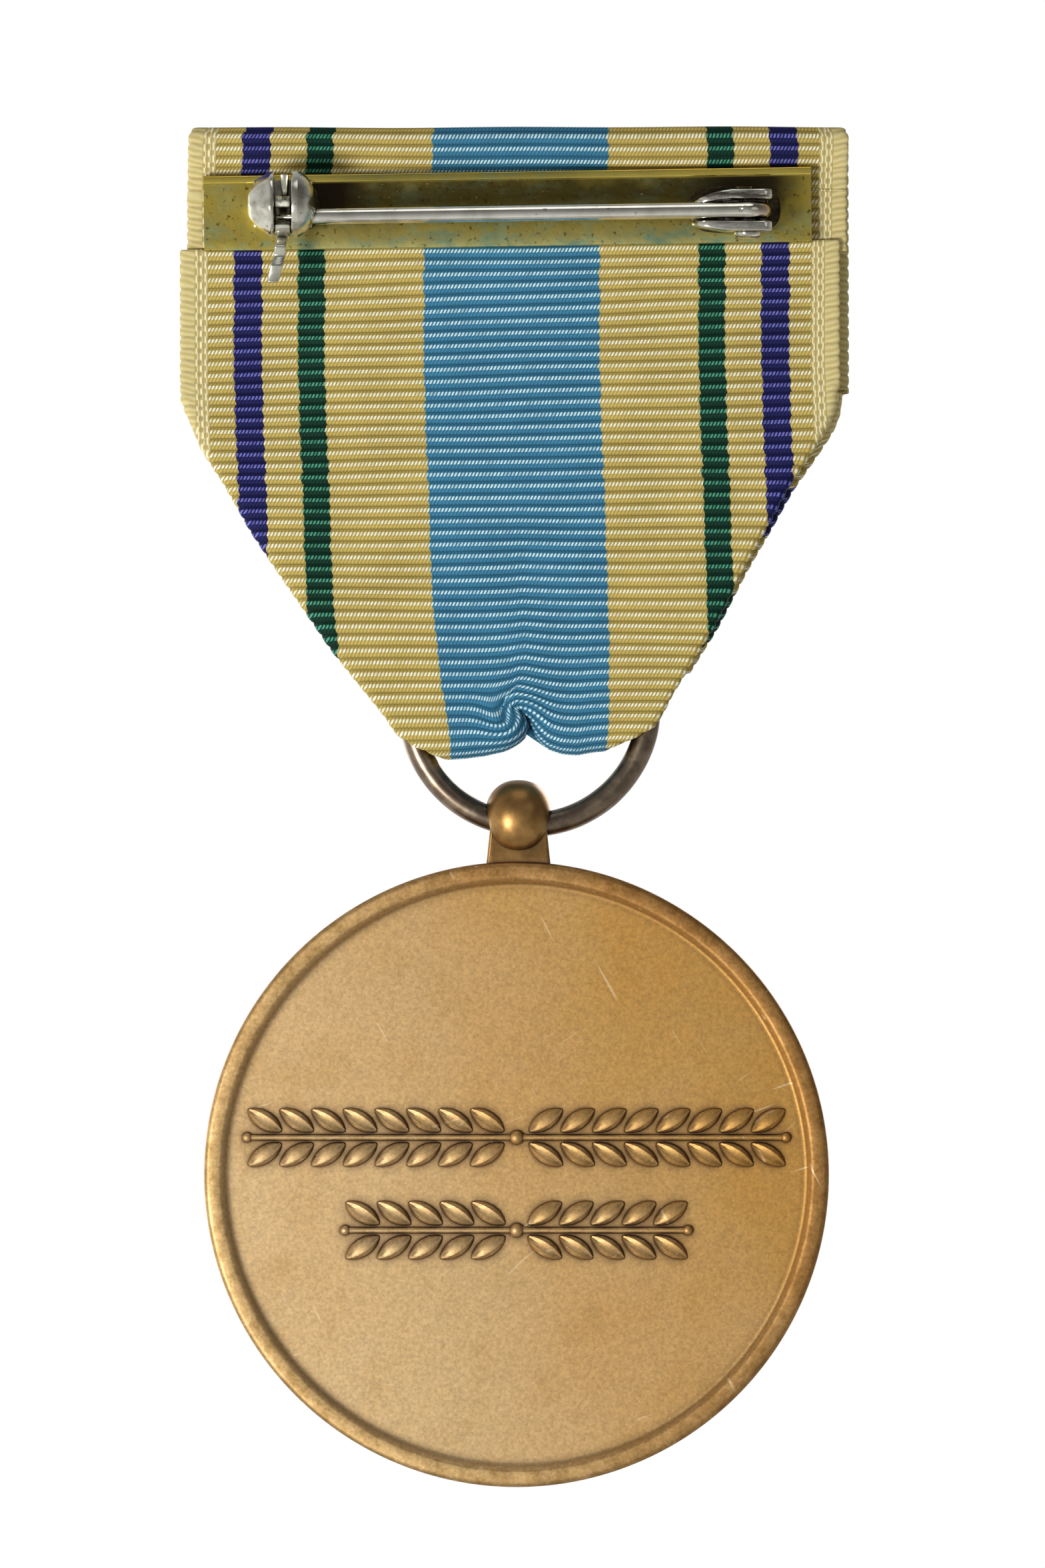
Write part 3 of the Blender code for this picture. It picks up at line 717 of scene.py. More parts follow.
def arcPoints(centre, radius, start, end, count=24):
    angles = np.radians(np.linspace(start, end, count))
    return np.stack([centre[0] + radius * np.cos(angles), centre[1] + radius * np.sin(angles)], 1)


def ribbonPath():
    fold, top = ribbon["fold"], ribbon["top"]
    parts = [np.array(ribbon["rear"]), arcPoints((fold["y"], fold["z"]), fold["radius"], 180, 360, 60)]
    parts += [np.array(ribbon["front"]), arcPoints(top["front"], top["radius"], 0, 90)]
    parts += [arcPoints(top["rear"], top["radius"], 90, 180), np.array(ribbon["tail"])]
    corners = np.concatenate(parts)
    length = np.concatenate([[0], np.cumsum(np.hypot(*np.diff(corners, axis=0).T))])
    fine = np.arange(0, length[-1], 0.02)
    line = np.stack([np.interp(fine, length, corners[:, k]) for k in range(2)], 1)
    reach = np.arange(-24, 25)
    weight = np.exp(-((reach / 9.0) ** 2))
    padded = np.pad(line, ((24, 24), (0, 0)), mode="edge")
    line = np.stack([np.convolve(padded[:, k], weight / weight.sum(), "valid") for k in range(2)], 1)
    length = np.concatenate([[0], np.cumsum(np.hypot(*np.diff(line, axis=0).T))])
    step = ribbonLook["ribPitch"] / len(ribbon["ribProfile"])
    along = np.arange(0, length[-1], step)
    return along, np.stack([np.interp(along, length, line[:, k]) for k in range(2)], 1)


def sideColumns(width):  # distances out from where a side starts to fold, up to its edge
    bend = min(math.pi * ribbon["bendRadius"], width * 0.7)
    inner = np.linspace(0, bend, ribbon["bendColumns"] + 1)[1:]
    outer = np.linspace(bend, width, ribbon["flapColumns"] + 1)[1:]
    return np.concatenate([inner, outer])


def foldLine(name, depth):
    table = np.array(ribbon[name])[::-1]
    return np.interp(depth, table[:, 0], table[:, 1])


def foldedRows(along, path):  # for each step along the strip, its points across and their places when flat
    slope = np.gradient(path, along, axis=0)
    slope /= np.linalg.norm(slope, axis=1)[:, None]
    outward = np.stack([slope[:, 1], -slope[:, 0]], 1)
    half, band, bendRadius = ribbon["halfWidth"], ribbon["edgeBand"], ribbon["bendRadius"]
    hang = ribbon["halfCloth"] + bendRadius
    halfTurn = math.pi * bendRadius
    gather, middle = ribbon["gather"], np.array(ribbon["centre"])
    rows, cols = [], []
    for v, (y, z), out in zip(along, path, outward):
        centre = np.interp(v, middle[:, 0], middle[:, 1])
        depth = z + out[1] * ribbon["halfCloth"]
        frontSide = y > ribbon["fold"]["y"] and z < 0
        shift = ribbon["frontShift"] if frontSide and depth > ribbon["shiftEnd"] else 0.0
        draw = gather["draw"] * np.clip((-z - gather["from"]) / (gather["to"] - gather["from"]), 0, 1) ** 2
        starts = [half, half]
        if depth <= ribbon["foldFrom"]:
            lines = (foldLine("leftFold", depth), foldLine("rightFold", depth))
            starts = [min(abs(line + shift - centre) - hang + draw, half) for line in lines]
        neck = np.clip((depth + ribbon["bottom"]) / 4, 0, 1)
        flap = 0.5 + (ribbon["flap"] - 0.5) * neck
        sides = []
        for side, start in zip((-1, 1), starts):
            free = half - start
            width = max(min(free, halfTurn + flap), band)
            begin = min(start if free >= band else half - band, half - band)
            distances = begin + sideColumns(width)
            bend = np.clip(distances - start, 0, None)
            turn = np.minimum(bend / bendRadius, math.pi)
            back = np.clip(bend - halfTurn, 0, None)
            x = np.minimum(distances, start) + bendRadius * np.sin(turn) - back
            deep = bendRadius * (1 - np.cos(turn))
            sides.append((side * distances, side * x, deep, side * begin))
        left, right = sides
        panel = np.linspace(left[3], right[3], ribbon["panelColumns"] + 1)
        flat = np.concatenate([left[0][::-1], panel, right[0]])
        x = np.concatenate([left[1][::-1], panel, right[1]])
        x = x + centre - draw * np.clip(flat / gather["half"], -1, 1)
        deep = np.concatenate([left[2][::-1], np.zeros(len(panel)), right[2]])
        rows.append(np.stack([x, y - out[0] * deep, z - out[1] * deep], 1))
        cols.append(flat)
    return np.array(rows), np.array(cols)


def hump(value, centre, width):
    return np.exp(-(((value - centre) / width) ** 2))


def crumple(grid):  # the small unevenness of worn cloth, and the tuck where the ring bears on it
    x, y, z = grid[..., 0], grid[..., 1], grid[..., 2]
    isFront = y > ribbon["fold"]["y"]
    height = np.clip(z + ribbon["bottom"], 0, None)
    lift = np.array(ribbon["lift"])
    raised = np.interp(x, lift[:, 0], lift[:, 1]) * np.exp(-height / ribbon["liftReach"]) * (z < -8)
    valley = 0.62 * hump(x, 0.3, 0.75) * hump(height, 0, 1.9)
    crease = -0.2 + 0.35 * np.sin((z + 27.9) * 1.7)
    pleat = 0.26 * hump(x, crease, 0.3) * hump(z, -28.2, 1.1)
    swell = -0.14 * (hump(x, -2.6, 1.8) + hump(x, 3.4, 1.9)) * hump(height, 0, 3.0)
    slack = 0.05 * np.sin(x * 0.42 + z * 0.13) * np.sin(z * 0.31 + 0.8) + 0.03 * np.sin(x * 1.1 - z * 0.35)
    slack *= np.clip((-3.5 - z) / 3, 0, 1)
    inward = valley + np.where(isFront, 0, pleat) + swell + slack
    grid[..., 1] += np.where(isFront, -inward, inward)
    skew = np.array(ribbon["skew"])
    waver = 0.045 * np.sin(x * 0.33 + z * 0.9) * np.sin(x * 0.17 - z * 0.37 + 1.0)
    waver = waver * np.clip((ribbon["bottom"] + z) / 4, 0, 1)
    slant = np.where(isFront | (z > 1.0), 0, np.interp(z, skew[:, 0], skew[:, 1]) * x)
    grid[..., 2] += raised + waver + slant
    tuck = ribbon["twist"]
    fromX, fromZ = grid[..., 0] - tuck["centre"][0], grid[..., 2] - tuck["centre"][1]
    turn = math.radians(tuck["turn"]) * np.exp(-(fromX**2 + fromZ**2) / tuck["reach"] ** 2) * ~isFront
    grid[..., 0] += fromX * (np.cos(turn) - 1) - fromZ * np.sin(turn)
    grid[..., 2] += fromX * np.sin(turn) + fromZ * (np.cos(turn) - 1)
    grid[..., 0] *= 1 - 0.014 * np.clip((z - 3.9) / 0.6, 0, 1) ** 2


def ribbed(grid, along, flat):  # the strip's two faces, thick at each rib and thin at its edges
    alongX = np.gradient(grid, axis=1)
    alongV = np.gradient(grid, axis=0)
    normal = np.cross(alongV, alongX)
    normal /= np.maximum(np.linalg.norm(normal, axis=2), 1e-9)[..., None]
    profile = np.array(ribbon["ribProfile"])
    rib = profile[np.arange(len(along)) % len(profile)][:, None]
    edge = np.clip((ribbon["halfWidth"] - np.abs(flat)) / ribbon["edgeBand"], 0, 1)
    thick = ribbon["halfCloth"] - ribbon["ribDepth"] * (1 - rib) * (0.25 + 0.75 * np.clip(edge * 3 - 2, 0, 1))
    thick = thick * (0.55 + 0.45 * np.sqrt(np.clip(edge * 4, 0, 1)))
    grid[..., 0] += ribbon["scallop"] * (rib - 0.5) * (edge < 0.3) * np.sign(flat)
    return grid + normal * thick[..., None], grid - normal * thick[..., None]


def stripMesh(outer, inner, along, flat):
    count, wide = flat.shape
    points = np.concatenate([outer.reshape(-1, 3), inner.reshape(-1, 3)]) * mm
    index = np.arange(count * wide).reshape(count, wide)
    quads = np.stack([index[:-1, :-1], index[1:, :-1], index[1:, 1:], index[:-1, 1:]], 2).reshape(-1, 4)
    under = quads[:, ::-1] + count * wide
    rim = np.concatenate([index[0, ::-1], index[1:, 0], index[-1, 1:], index[-2::-1, -1]])
    nextRim = np.roll(rim, -1)
    walls = np.stack([rim, rim + count * wide, nextRim + count * wide, nextRim], 1)
    mesh = bpy.data.meshes.new("ribbon_strip")
    mesh.from_pydata(points.tolist(), [], np.concatenate([quads, under, walls]).tolist())
    weave = mesh.uv_layers.new(name="weave")
    u = flat / ribbonLook["uSpan"] + 0.5
    v = np.repeat(along[:, None], wide, 1) / ribbonLook["vSpan"]
    uv = np.stack([u.ravel(), v.ravel()], 1)
    uv = np.concatenate([uv, uv])
    loops = np.empty(len(mesh.loops), np.int32)
    mesh.loops.foreach_get("vertex_index", loops)
    weave.data.foreach_set("uv", uv[loops].ravel())
    mesh.shade_smooth()
    return mesh


def makeRibbon():
    along, path = ribbonPath()
    grid, flat = foldedRows(along, path)
    crumple(grid)
    mesh = stripMesh(*ribbed(grid, along, flat), along, flat)
    strip = bpy.data.objects.new("ribbon_strip", mesh)
    bpy.context.scene.collection.objects.link(strip)
    shape = bmesh.new()
    shape.from_mesh(mesh)
    if shape.calc_volume(signed=True) < 0:
        bmesh.ops.reverse_faces(shape, faces=shape.faces)
        shape.to_mesh(mesh)
    shape.free()
    mesh.materials.append(finishes["ribbon"])
    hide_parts("ribbon_wrap", "ribbon_drape")
    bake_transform(strip)
    print("made ribbon_strip", len(mesh.polygons), "faces,", round(float(along[-1]), 1), "mm long")


makeRibbon()


# the medallion

medal = {
    "radius": 17.5,
    "thickness": 3.0,
    "rim": 0.95,
    "fieldDepth": 0.4,
    "slope": 0.3,
    "centre": (0.0, 1.9, -54.03),
    "lug": {"x": 0.11, "halfWidth": 1.76, "halfDepth": 1.15, "top": -33.9, "narrow": 0.86, "flare": 1.05},
    "ball": {"radii": (1.88, 2.1, 2.1), "z": -34.04, "fullness": 0.9},
    "hole": {"radius": 1.13, "z": -34.45},
    "leafRows": (
        {"z": -51.95, "pairs": 8, "pitch": 1.78, "start": 0.75, "stem": 0.19},
        {"z": -57.15, "pairs": 5, "pitch": 1.76, "start": 0.7, "stem": 0.19},
    ),
    "leaf": {"length": 2.3, "width": 1.08, "height": 0.4, "lean": 33, "spread": 0.95},
    "star": {"rays": 8, "long": 11.2, "short": 8.2, "shortShare": 0.8, "width": 1.9, "height": 0.85,
             "boss": 3.0, "bossDepth": 1.45},
    "beads": {"count": 84, "circle": 14.9, "radius": 0.34},
}


def makeLeaf():
    leaf = medal["leaf"]
    piece = added("uv_sphere", "leaf_model", turn=(0, 90, 0), segments=12, ring_count=8, radius=1)
    edit(piece, "VERT")
    for ring in range(1, 8):  # narrow the two ends into points
        x = -math.cos(math.pi * ring / 8)
        pickVerts(piece, lambda at: abs(at.x - x) < 0.02)
        stretch((x, 0, 0), y=1 - 0.45 * abs(x) ** 3, z=1 - 0.45 * abs(x) ** 3)
    pickVerts(piece, lambda at: abs(at.z) < 0.05 and at.y < -0.3)
    push(y=0.3)  # a midrib groove
    leave()
    for vert in piece.data.vertices:
        x, y, z = vert.co / mm
        vert.co = Vector((x * leaf["length"] / 2, y * leaf["height"], z * leaf["width"] / 2)) * mm
    return piece


def leafRow(row, number):
    leaf = medal["leaf"]
    fieldY = medal["centre"][1] - medal["thickness"] / 2 + medal["fieldDepth"]
    model = makeLeaf()
    pieces = []
    for side in (-1, 1):
        for pair in range(row["pairs"]):
            for up in (-1, 1):
                twin = copyOf(model, "leaf")
                lean = leaf["lean"] * up * side
                if side < 0:
                    moved(twin, turnY=180)
                x = side * (row["start"] + (pair + 0.5) * row["pitch"])
                moved(twin, turnY=-lean)
                moved(twin, place=(x, fieldY, row["z"] + up * leaf["spread"]))
                pieces.append(twin)
    reach = row["start"] + row["pairs"] * row["pitch"] + 0.1
    stem = rod("stem", (0, fieldY, row["z"]), row["stem"], 2 * reach, 12)
    pieces.append(stem)
    for x in (-reach, 0, reach):
        size = 0.42 if x == 0 else 0.3
        place = (x, fieldY, row["z"])
        pieces.append(added("uv_sphere", "berry", place, segments=14, ring_count=8, radius=size))
    bpy.data.objects.remove(model)
    return joined(pieces, "leaf_row_%d" % number)


def makeStar():
    star, beads, (cx, cy, cz) = medal["star"], medal["beads"], medal["centre"]
    fieldY = cy + medal["thickness"] / 2 - medal["fieldDepth"]
    pieces = []
    for ray in range(2 * star["rays"]):
        length, size = (star["short"], star["shortShare"]) if ray % 2 else (star["long"], 1.0)
        piece = added("cone", "ray", turn=(-90, 0, 0), vertices=4, radius1=1, radius2=0, depth=1,
                      end_fill_type="NGON")
        for vert in piece.data.vertices:  # a long rhombus with its peak near the middle of the star
            x, y, z = vert.co / mm
            x, z = x * star["width"] * size, (z * 0.5 + 0.5) * length
            if y > 0.4:
                x, z, y = 0, length * 0.3, star["height"] * size
            else:
                y = -0.15
                if abs(x) > 0.2:
                    z = length * 0.3
            vert.co = Vector((x, y, z)) * mm
        moved(piece, turnY=360 * ray / (2 * star["rays"]))
        pieces.append(moved(piece, place=(cx, fieldY, cz)))
    boss = rod("boss", (cx, fieldY, cz), star["boss"], star["bossDepth"], 64, "Y")
    edit(boss)
    pickFaces(boss, lambda at, normal: normal.y > 0.9)
    insetBy(0.35)
    insetBy(0.2, -0.25)
    insetBy(0.5)
    insetBy(0.5, 0.25)
    insetBy(0.7, 0.12)
    leave()
    pieces.append(boss)
    ringY = fieldY - 0.02
    pieces.append(added("torus", "line", (cx, ringY, cz), (90, 0, 0), major_radius=beads["circle"] - 0.85,
                        minor_radius=0.16, major_segments=128, minor_segments=10))
    for number in range(beads["count"]):
        angle = math.tau * number / beads["count"]
        place = (cx + beads["circle"] * math.sin(angle), fieldY, cz + beads["circle"] * math.cos(angle))
        pieces.append(added("uv_sphere", "bead", place, segments=10, ring_count=6, radius=beads["radius"]))
    return joined(pieces, "star")


def makeMedal():
    lug, ball, hole = medal["lug"], medal["ball"], medal["hole"]
    centre = Vector(medal["centre"])
    disc = rod("struck_medal", centre, medal["radius"], medal["thickness"], 256, "Y")
    half = medal["thickness"] / 2
    edit(disc)
    pickFaces(disc, lambda at, normal: abs(normal.y) > 0.9)
    insetBy(medal["rim"])
    insetBy(medal["slope"], -medal["fieldDepth"])

    def radiusOf(at):
        return math.hypot(at.x - centre.x, at.z - centre.z)

    def onCircle(a, b, radius, reach):  # both ends of an edge lie on this circle, at one depth
        return all(abs(radiusOf(end) - radius) < reach for end in (a, b)) and abs(a.y - b.y) < 0.01

    inner = medal["radius"] - medal["rim"]
    pickKind("EDGE")
    for radius, reach, width, steps in (
        (medal["radius"], 0.05, 0.3, 4), (inner, 0.03, 0.13, 3), (inner - medal["slope"], 0.03, 0.12, 3),
    ):
        pickEdges(disc, lambda a, b: onCircle(a, b, radius, reach))
        soften(width, steps)
    pickKind("FACE")
    pickFaces(disc, lambda at, normal: abs(normal.y) > 0.99 and radiusOf(at) < 2)
    insetBy(0.12)  # keeps the field's shading flat up to the rim
    leave()
    bottom = centre.z + medal["radius"] - 0.6
    foot = block("lug", (lug["x"] - lug["halfWidth"], centre.y - lug["halfDepth"], bottom),
                 (lug["x"] + lug["halfWidth"], centre.y + lug["halfDepth"], lug["top"]))
    edit(foot)
    pickFaces(foot, lambda at, normal: normal.z > 0.9)
    stretch((lug["x"], centre.y, lug["top"]), lug["narrow"])
    pickFaces(foot, lambda at, normal: normal.z < -0.9)
    stretch((lug["x"], centre.y, lug["top"]), lug["flare"])
    pickKind("EDGE")
    pickAll()
    soften(0.12, 3)
    leave()
    combined(disc, foot)
    knob = added("uv_sphere", "ball", segments=64, ring_count=40, radius=1)
    for vert in knob.data.vertices:
        x, y, z = (math.copysign(abs(t) ** ball["fullness"], t) for t in vert.co / mm)
        a, b, c = ball["radii"]
        vert.co = Vector((x * a + lug["x"], y * b + centre.y, z * c + ball["z"])) * mm
    combined(disc, knob)
    way = rod("hole", (lug["x"], centre.y, hole["z"]), hole["radius"], 8, 48)
    combined(disc, way, "DIFFERENCE")
    rows = [leafRow(row, number) for number, row in enumerate(medal["leafRows"])]
    whole = joined([disc, *rows, makeStar()], "struck_medal")
    done(whole, "bronze", "medal", "bronze", "medallion", angle=32)


makeMedal()


# the suspension ring

hoop = {"centre": (0.72, 1.9, -27.75), "radius": 6.7, "wire": 0.68, "seam": 0.05}


def makeRing():
    piece = added("torus", "wire_ring", hoop["centre"], (90, 0, 0), major_radius=hoop["radius"],
                  minor_radius=hoop["wire"], major_segments=200, minor_segments=32)
    edit(piece)
    x, y, z = hoop["centre"]
    pickFaces(piece, lambda at, normal: at.z > z and abs(at.x - x) < 0.24)
    bpy.ops.transform.shrink_fatten(value=-hoop["seam"] * mm)  # the closed seam, up inside the ribbon
    leave()
    dented(piece, "wireDents", 2.2, 0.03)
    done(piece, "darkWire", "ring", "dark_bronze", "suspension_ring")


makeRing()


# the back plate

plate = {"left": -17.5, "right": 16.5, "half": 2.1, "depth": 0.42, "hem": 0.45, "proud": 0.1, "round": 0.09,
         "tilt": 0.9, "centreX": -0.5}


def makePlate():
    low, high = (plate["left"], 0, -plate["half"]), (plate["right"], plate["depth"], plate["half"])
    piece = block("brass_plate", low, high)
    edit(piece)
    hem = plate["half"] - plate["hem"]
    cutAt((0, 0, hem), (0, 0, 1))
    pickFaces(piece, lambda at, normal: normal.y < -0.9 and at.z > hem)
    pull(y=-plate["proud"])  # the folded-over top edge
    pickKind("EDGE")
    pickEdges(piece, lambda a, b: abs(a.z - b.z) < 0.01 and abs(a.x - b.x) > 5 and max(a.y, b.y) < 0.01
              and (abs(a.z) > plate["half"] - 0.01 or a.y < -0.05))
    soften(plate["round"], 4)
    pickEdges(piece, lambda a, b: abs(a.x - b.x) > 5)
    bpy.ops.mesh.subdivide(number_cuts=60)
    pickEdges(piece, lambda a, b: abs(a.z - b.z) > 2)
    bpy.ops.mesh.subdivide(number_cuts=7)
    leave()
    dented(piece, "plateWaves", 3.5, 0.1, direction="Y")
    moved(piece, turnY=-plate["tilt"], about=(plate["centreX"], 0, 0))
    done(piece, "oldBrass", "brooch", "old_brass", "back_plate")


makePlate()
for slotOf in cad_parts["inner_bar"].material_slots:
    slotOf.material = finishes["oldBrass"]


# solder under the hinge and the catch

solderPads = {
    "hinge_solder_flow": {"centre": (12.2, -0.05, -0.05), "half": (2.6, 0.15, 1.35), "node": "hinge_solder"},
    "catch_solder_flow": {"centre": (-12.95, -0.05, 0.15), "half": (2.0, 0.28, 1.5), "node": "catch_solder"},
}


def makeSolder(name, centre, half, node):
    piece = added("uv_sphere", name, segments=64, ring_count=32, radius=1)
    for vert in piece.data.vertices:
        x, y, z = vert.co / mm
        x, z = (math.copysign(abs(t) ** 0.7, t) for t in (x, z))
        vert.co = Vector((x * half[0], y * half[1], z * half[2])) * mm + Vector(centre) * mm
    dented(piece, name + "Lumps", 1.1, 1.05 * half[1], 0.6)
    done(piece, "solder", "brooch", "solder", node, merge=False)  # its closest points stay apart


for padName, pad in solderPads.items():
    makeSolder(padName, **pad)


# the hinge and the pin

hinge = {
    "rivet": (12.9, -2.1),
    "floor": {"low": (11.2, -0.72, -1.3), "high": (13.9, -0.42, 0.9)},
    "earX": (9.75, 14.25),
    "earY": (-3.1, -0.45),
    "leanFrom": 12.2,  # left of here each ear thins and turns in towards the pin
    "leanLength": 2.45,
    "ears": ({"low": 0.41, "high": 0.97, "lean": -0.58}, {"low": -1.38, "high": -0.8, "lean": 0.2}),
    "thin": 0.5,
    "holeRadius": 0.5,
    "axle": 0.42,
    "head": 0.75,
}


def makeHinge():
    x, y = hinge["rivet"]
    pieces = []
    for number, ear in enumerate(hinge["ears"]):
        (left, right), (outside, inside) = hinge["earX"], hinge["earY"]
        piece = block("ear_%d" % number, (left, outside, ear["low"]), (right, inside, ear["high"]))
        edit(piece, "EDGE")
        for end, width, profile in ((right, 0.5, 0.5), (left, 1.5, 0.6)):
            pickEdges(piece, lambda a, b: all(abs(p.x - end) < 0.01 and p.y < -3 for p in (a, b)))
            soften(width, 8, profile)
        for cut in range(1, 12):
            cutAt((9.8 + 0.2 * cut, 0, 0), (1, 0, 0))
        leave()
        middle = (ear["low"] + ear["high"]) / 2 * mm
        for vert in piece.data.vertices:
            share = min(max((hinge["leanFrom"] - vert.co.x / mm) / hinge["leanLength"], 0), 1) ** 1.7
            vert.co.z = middle + (vert.co.z - middle) * (1 - hinge["thin"] * share) + ear["lean"] * share * mm
        rounded(piece, 0.14, 4)
        pieces.append(piece)
    floor = block("hinge_floor", **hinge["floor"])
    whole = combined(combined(pieces[0], pieces[1]), floor)
    drill = rod("drill", (x, y, 0), hinge["holeRadius"], 6, 40, "Z")
    combined(whole, drill, "DIFFERENCE")
    whole.name = "hinge_ears"
    done(whole, "brightSteel", "brooch", "plated_steel", "hinge_bracket", angle=30)


def makeRivet():
    x, y = hinge["rivet"]
    top, bottom = hinge["ears"][0]["high"] + 0.04, hinge["ears"][1]["low"] - 0.03
    piece = rod("hinge_axle", (x, y, (top + bottom) / 2), hinge["axle"], top - bottom, 40, "Z")
    edit(piece)
    pickFaces(piece, lambda at, normal: normal.z < -0.9)
    pull(z=-0.001)
    grow = hinge["head"] / hinge["axle"]
    stretch((x, y, bottom), grow, grow)
    for drop, share in ((0.12, 1.0), (0.13, 0.9), (0.08, 0.7), (0.03, 0.4)):  # peened over below, flush above
        pull(z=-drop)
        stretch((x, y, bottom), share, share)
    leave()
    dented(piece, "hammered", 0.5, 0.04)
    done(piece, "brightSteel", "brooch", "plated_steel", "hinge_rivet")


makeHinge()
makeRivet()

pin = {
    "start": (12.9, -2.93, -0.2),
    "end": (-13.4, -2.1, -0.57),
    "radius": 0.45,
    "taper": 2.3,
    "point": 0.3,
    "bow": 0.2,
    "eye": {"circle": 0.83, "wire": 0.47, "z": -0.2, "hole": 0.47},
    "dimple": (12.48, -3.45, -0.2),
}


def makePin():
    start, end = Vector(pin["start"]), Vector(pin["end"])
    steps = 40
    piece = added("circle", "pin_needle", start, (0, 90, 0), vertices=32, radius=pin["radius"],
                  fill_type="NGON")
    edit(piece)
    pickAll()
    size = 1.0
    bend = 0.0
    for step in range(1, steps + 1):
        share = step / steps
        bow = -pin["bow"] * math.sin(math.pi * share)
        jump = (end - start) / steps
        pull(jump.x, jump.y + bow - bend, jump.z)
        bend = bow
        left = (1 - share) * (start - end).length / pin["taper"]
        wanted = min(1, pin["point"] + (1 - pin["point"]) * left)
        here = start + (end - start) * share
        stretch((here.x, here.y + bow, here.z), 1, wanted / size, wanted / size)
        size = wanted
    leave()
    x, y = hinge["rivet"]
    eye = pin["eye"]
    knuckle = added("torus", "knuckle", (x, y, eye["z"]), major_radius=eye["circle"],
                    minor_radius=eye["wire"], major_segments=64, minor_segments=32)
    combined(piece, knuckle)
    drill = rod("drill", (x, y, 0), eye["hole"], 4, 40, "Z")
    combined(piece, drill, "DIFFERENCE")
    punch = added("uv_sphere", "punch", pin["dimple"], segments=20, ring_count=12, radius=0.17)
    combined(piece, punch, "DIFFERENCE")
    done(piece, "brightSteel", "pin", "plated_steel", "pin_stem", angle=35)


makePin()


# the safety catch

catch = {
    "centre": (-2.25, 0.15),
    # each cheek's section, as (distance out from its inner face, share of its radius)
    "left": {"face": -13.5, "out": -1, "radius": 1.84, "rim": 0.24, "inner": 0.16, "sides": 7,
             "section": ((0.34, 0.97), (0.9, 0.8), (1.3, 0.54), (1.44, 0.4), (1.5, 0.2))},
    "right": {"face": -12.53, "out": 1, "radius": 1.86, "rim": 0.36, "inner": 0.1, "sides": 0,
              "section": ((0.5, 0.96), (0.72, 0.88), (0.95, 0.76), (1.13, 0.61), (1.27, 0.43),
                          (1.34, 0.25), (1.37, 0.1))},
    "roller": {"x": (-13.43, -12.62), "axis": (-2.1, -0.55), "outer": 1.2, "inner": 0.62, "mouth": 0.5},
    "foot": {"low": (-14.7, -0.8, -1.1), "high": (-11.4, -0.42, 1.6)},
    "tongue": {"low": (-13.16, -2.95, 0.4), "high": (-12.72, -0.5, 1.77)},
    "tail": (  # (x, y, z, half width) of its middle, down from the roller
        (-13.0, -2.2, -1.5, 0.36), (-13.08, -2.45, -1.85, 0.27), (-13.15, -2.9, -2.25, 0.31),
        (-13.2, -2.62, -2.75, 0.33), (-13.35, -2.95, -3.3, 0.34), (-13.5, -2.7, -3.85, 0.34),
        (-13.58, -2.75, -4.25, 0.26),
    ),
    "tailSheet": 0.3,
    "wayRadius": 0.56,
}


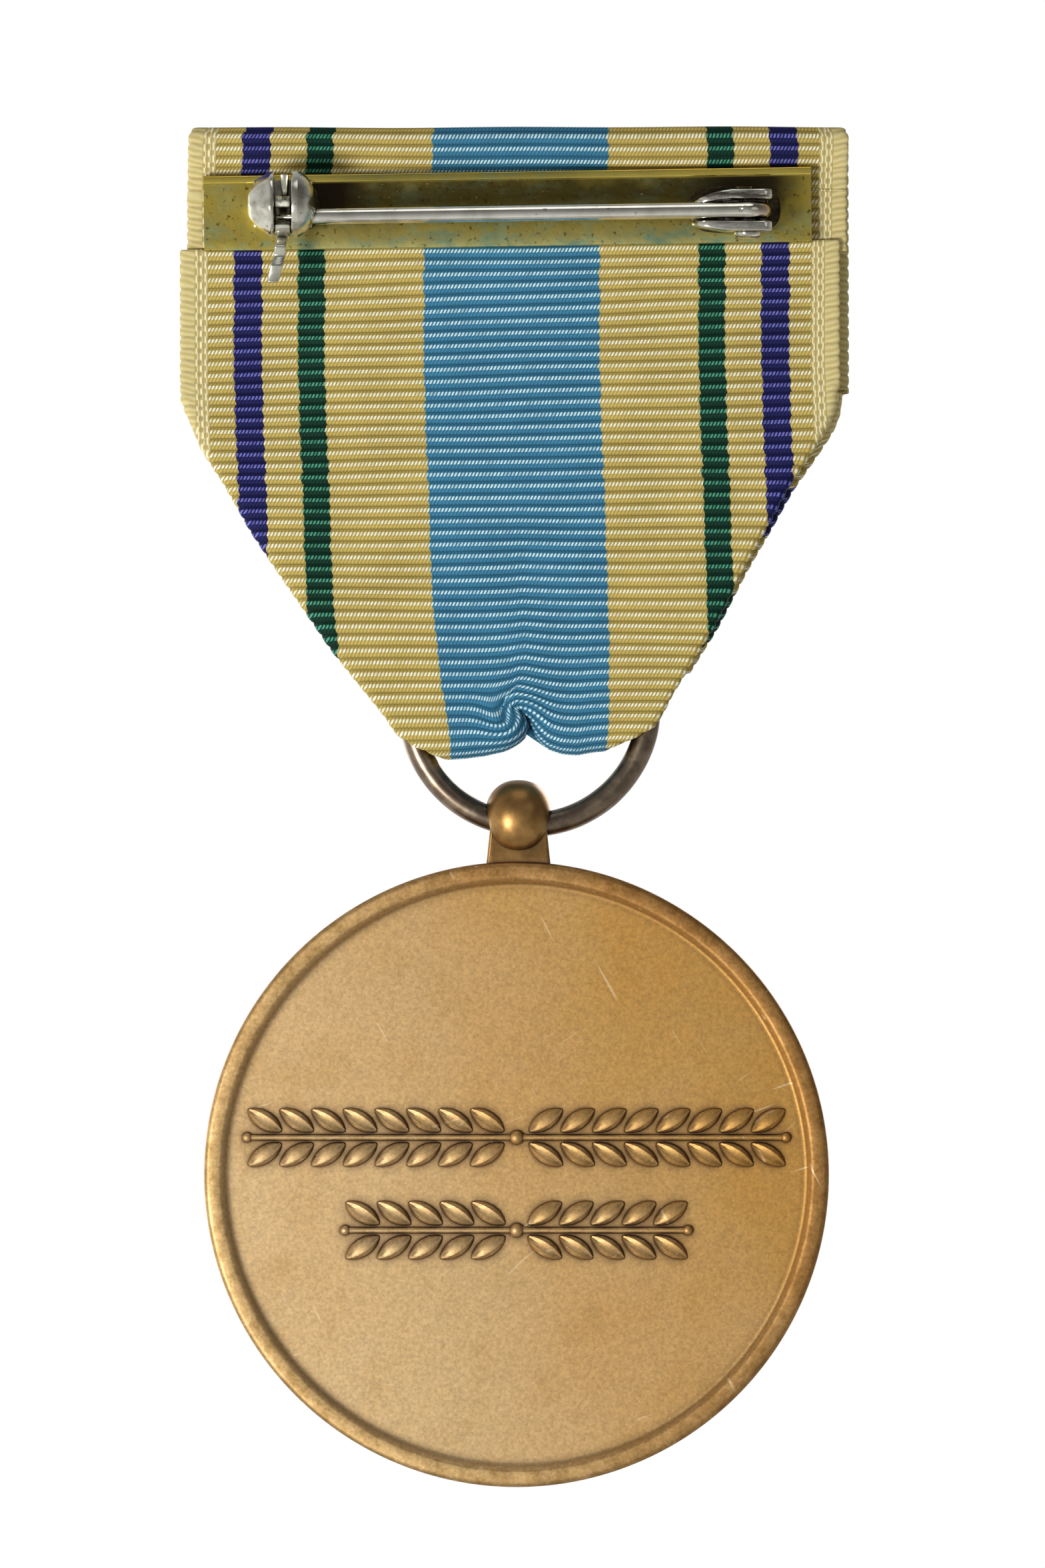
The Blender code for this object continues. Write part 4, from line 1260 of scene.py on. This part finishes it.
def makeCheek(name, face, out, radius, rim, inner, sides, section):
    y, z = catch["centre"]
    piece = rod(name, (face + out * rim / 2, y, z), radius, rim, 72)
    edit(piece)
    pickFaces(piece, lambda at, normal: normal.x * out > 0.9)
    size, height = 1.0, rim
    for rise, share in section:
        pull(x=out * (rise - height))
        stretch((face, y, z), 1, share / size, share / size)
        size, height = share, rise
    pickKind("EDGE")
    pickEdges(piece, lambda a, b: abs(a.x - face) < 0.01 and abs(b.x - face) < 0.01)
    soften(inner, 3)
    leave()
    if sides:  # the left one is pressed to a few flats
        for vert in piece.data.vertices:
            dy, dz = vert.co.y / mm - y, vert.co.z / mm - z
            turn = math.atan2(dz, dy)
            step = math.tau / sides
            off = (turn + step * 0.35) % step - step / 2
            share = min(abs(vert.co.x / mm - face) / 0.5, 1)
            shrink = 1 - share * (1 - math.cos(step / 2) / math.cos(off))
            vert.co.y, vert.co.z = (y + dy * shrink) * mm, (z + dz * shrink) * mm
    return dented(piece, name + "Dents", 1.4, 0.05)


def makeHousing():
    left = makeCheek("left_cheek", **catch["left"])
    right = makeCheek("right_cheek", **catch["right"])
    foot = block("foot", **catch["foot"])
    edit(foot, "EDGE")
    pickAll()
    soften(0.12, 2)
    leave()
    tongue = block("tongue", **catch["tongue"])
    edit(tongue, "VERT")
    pickVerts(tongue, lambda at: at.z < 1 and at.y < -2)
    stretch((-12.88, -2.95, 0.4), 0.55, 1, 1)
    push(y=0.6)
    pickKind("EDGE")
    pickAll()
    soften(0.07, 2)
    leave()
    whole = combined(combined(combined(left, right), foot), tongue)
    y, z = pin["end"][1], pin["end"][2]
    way = rod("way", (-11.5, y, z), catch["wayRadius"], 2.4, 40)
    combined(whole, way, "DIFFERENCE")
    whole.name = "catch_cheeks"
    done(whole, "satinSteel", "brooch", "plated_steel", "catch_housing", angle=27)


def makeRoller():
    roller = catch["roller"]
    y, z = roller["axis"]
    low, high = roller["x"]
    piece = rod("catch_turner", ((low + high) / 2, y, z), roller["outer"], high - low, 56)
    bore = rod("bore", ((low + high) / 2, y, z), roller["inner"], 2, 48)
    combined(piece, bore, "DIFFERENCE")
    mouth = block("mouth", (low - 1, y - 2, z - roller["mouth"]), (high + 1, y, z + roller["mouth"]))
    combined(piece, mouth, "DIFFERENCE")
    rounded(piece, 0.07, 3)
    stations = catch["tail"]
    x, ty, tz, wide = stations[0]
    sheet = catch["tailSheet"] / 2
    tail = block("tail", (x - wide, ty - sheet, tz), (x + wide, ty + sheet, tz + 0.6))
    edit(tail)
    pickFaces(tail, lambda at, normal: normal.z < -0.9)
    for nextX, nextY, nextZ, nextWide in stations[1:]:
        pull(nextX - x, nextY - ty, nextZ - tz)
        stretch((nextX, nextY, nextZ), nextWide / wide, 1, 1)
        x, ty, tz, wide = nextX, nextY, nextZ, nextWide
    leave()
    rounded(tail, 0.08, 3, 50)
    combined(piece, tail)
    done(piece, "satinSteel", "safety_roller", "plated_steel", "catch_roller", angle=35)


makeHousing()
makeRoller()
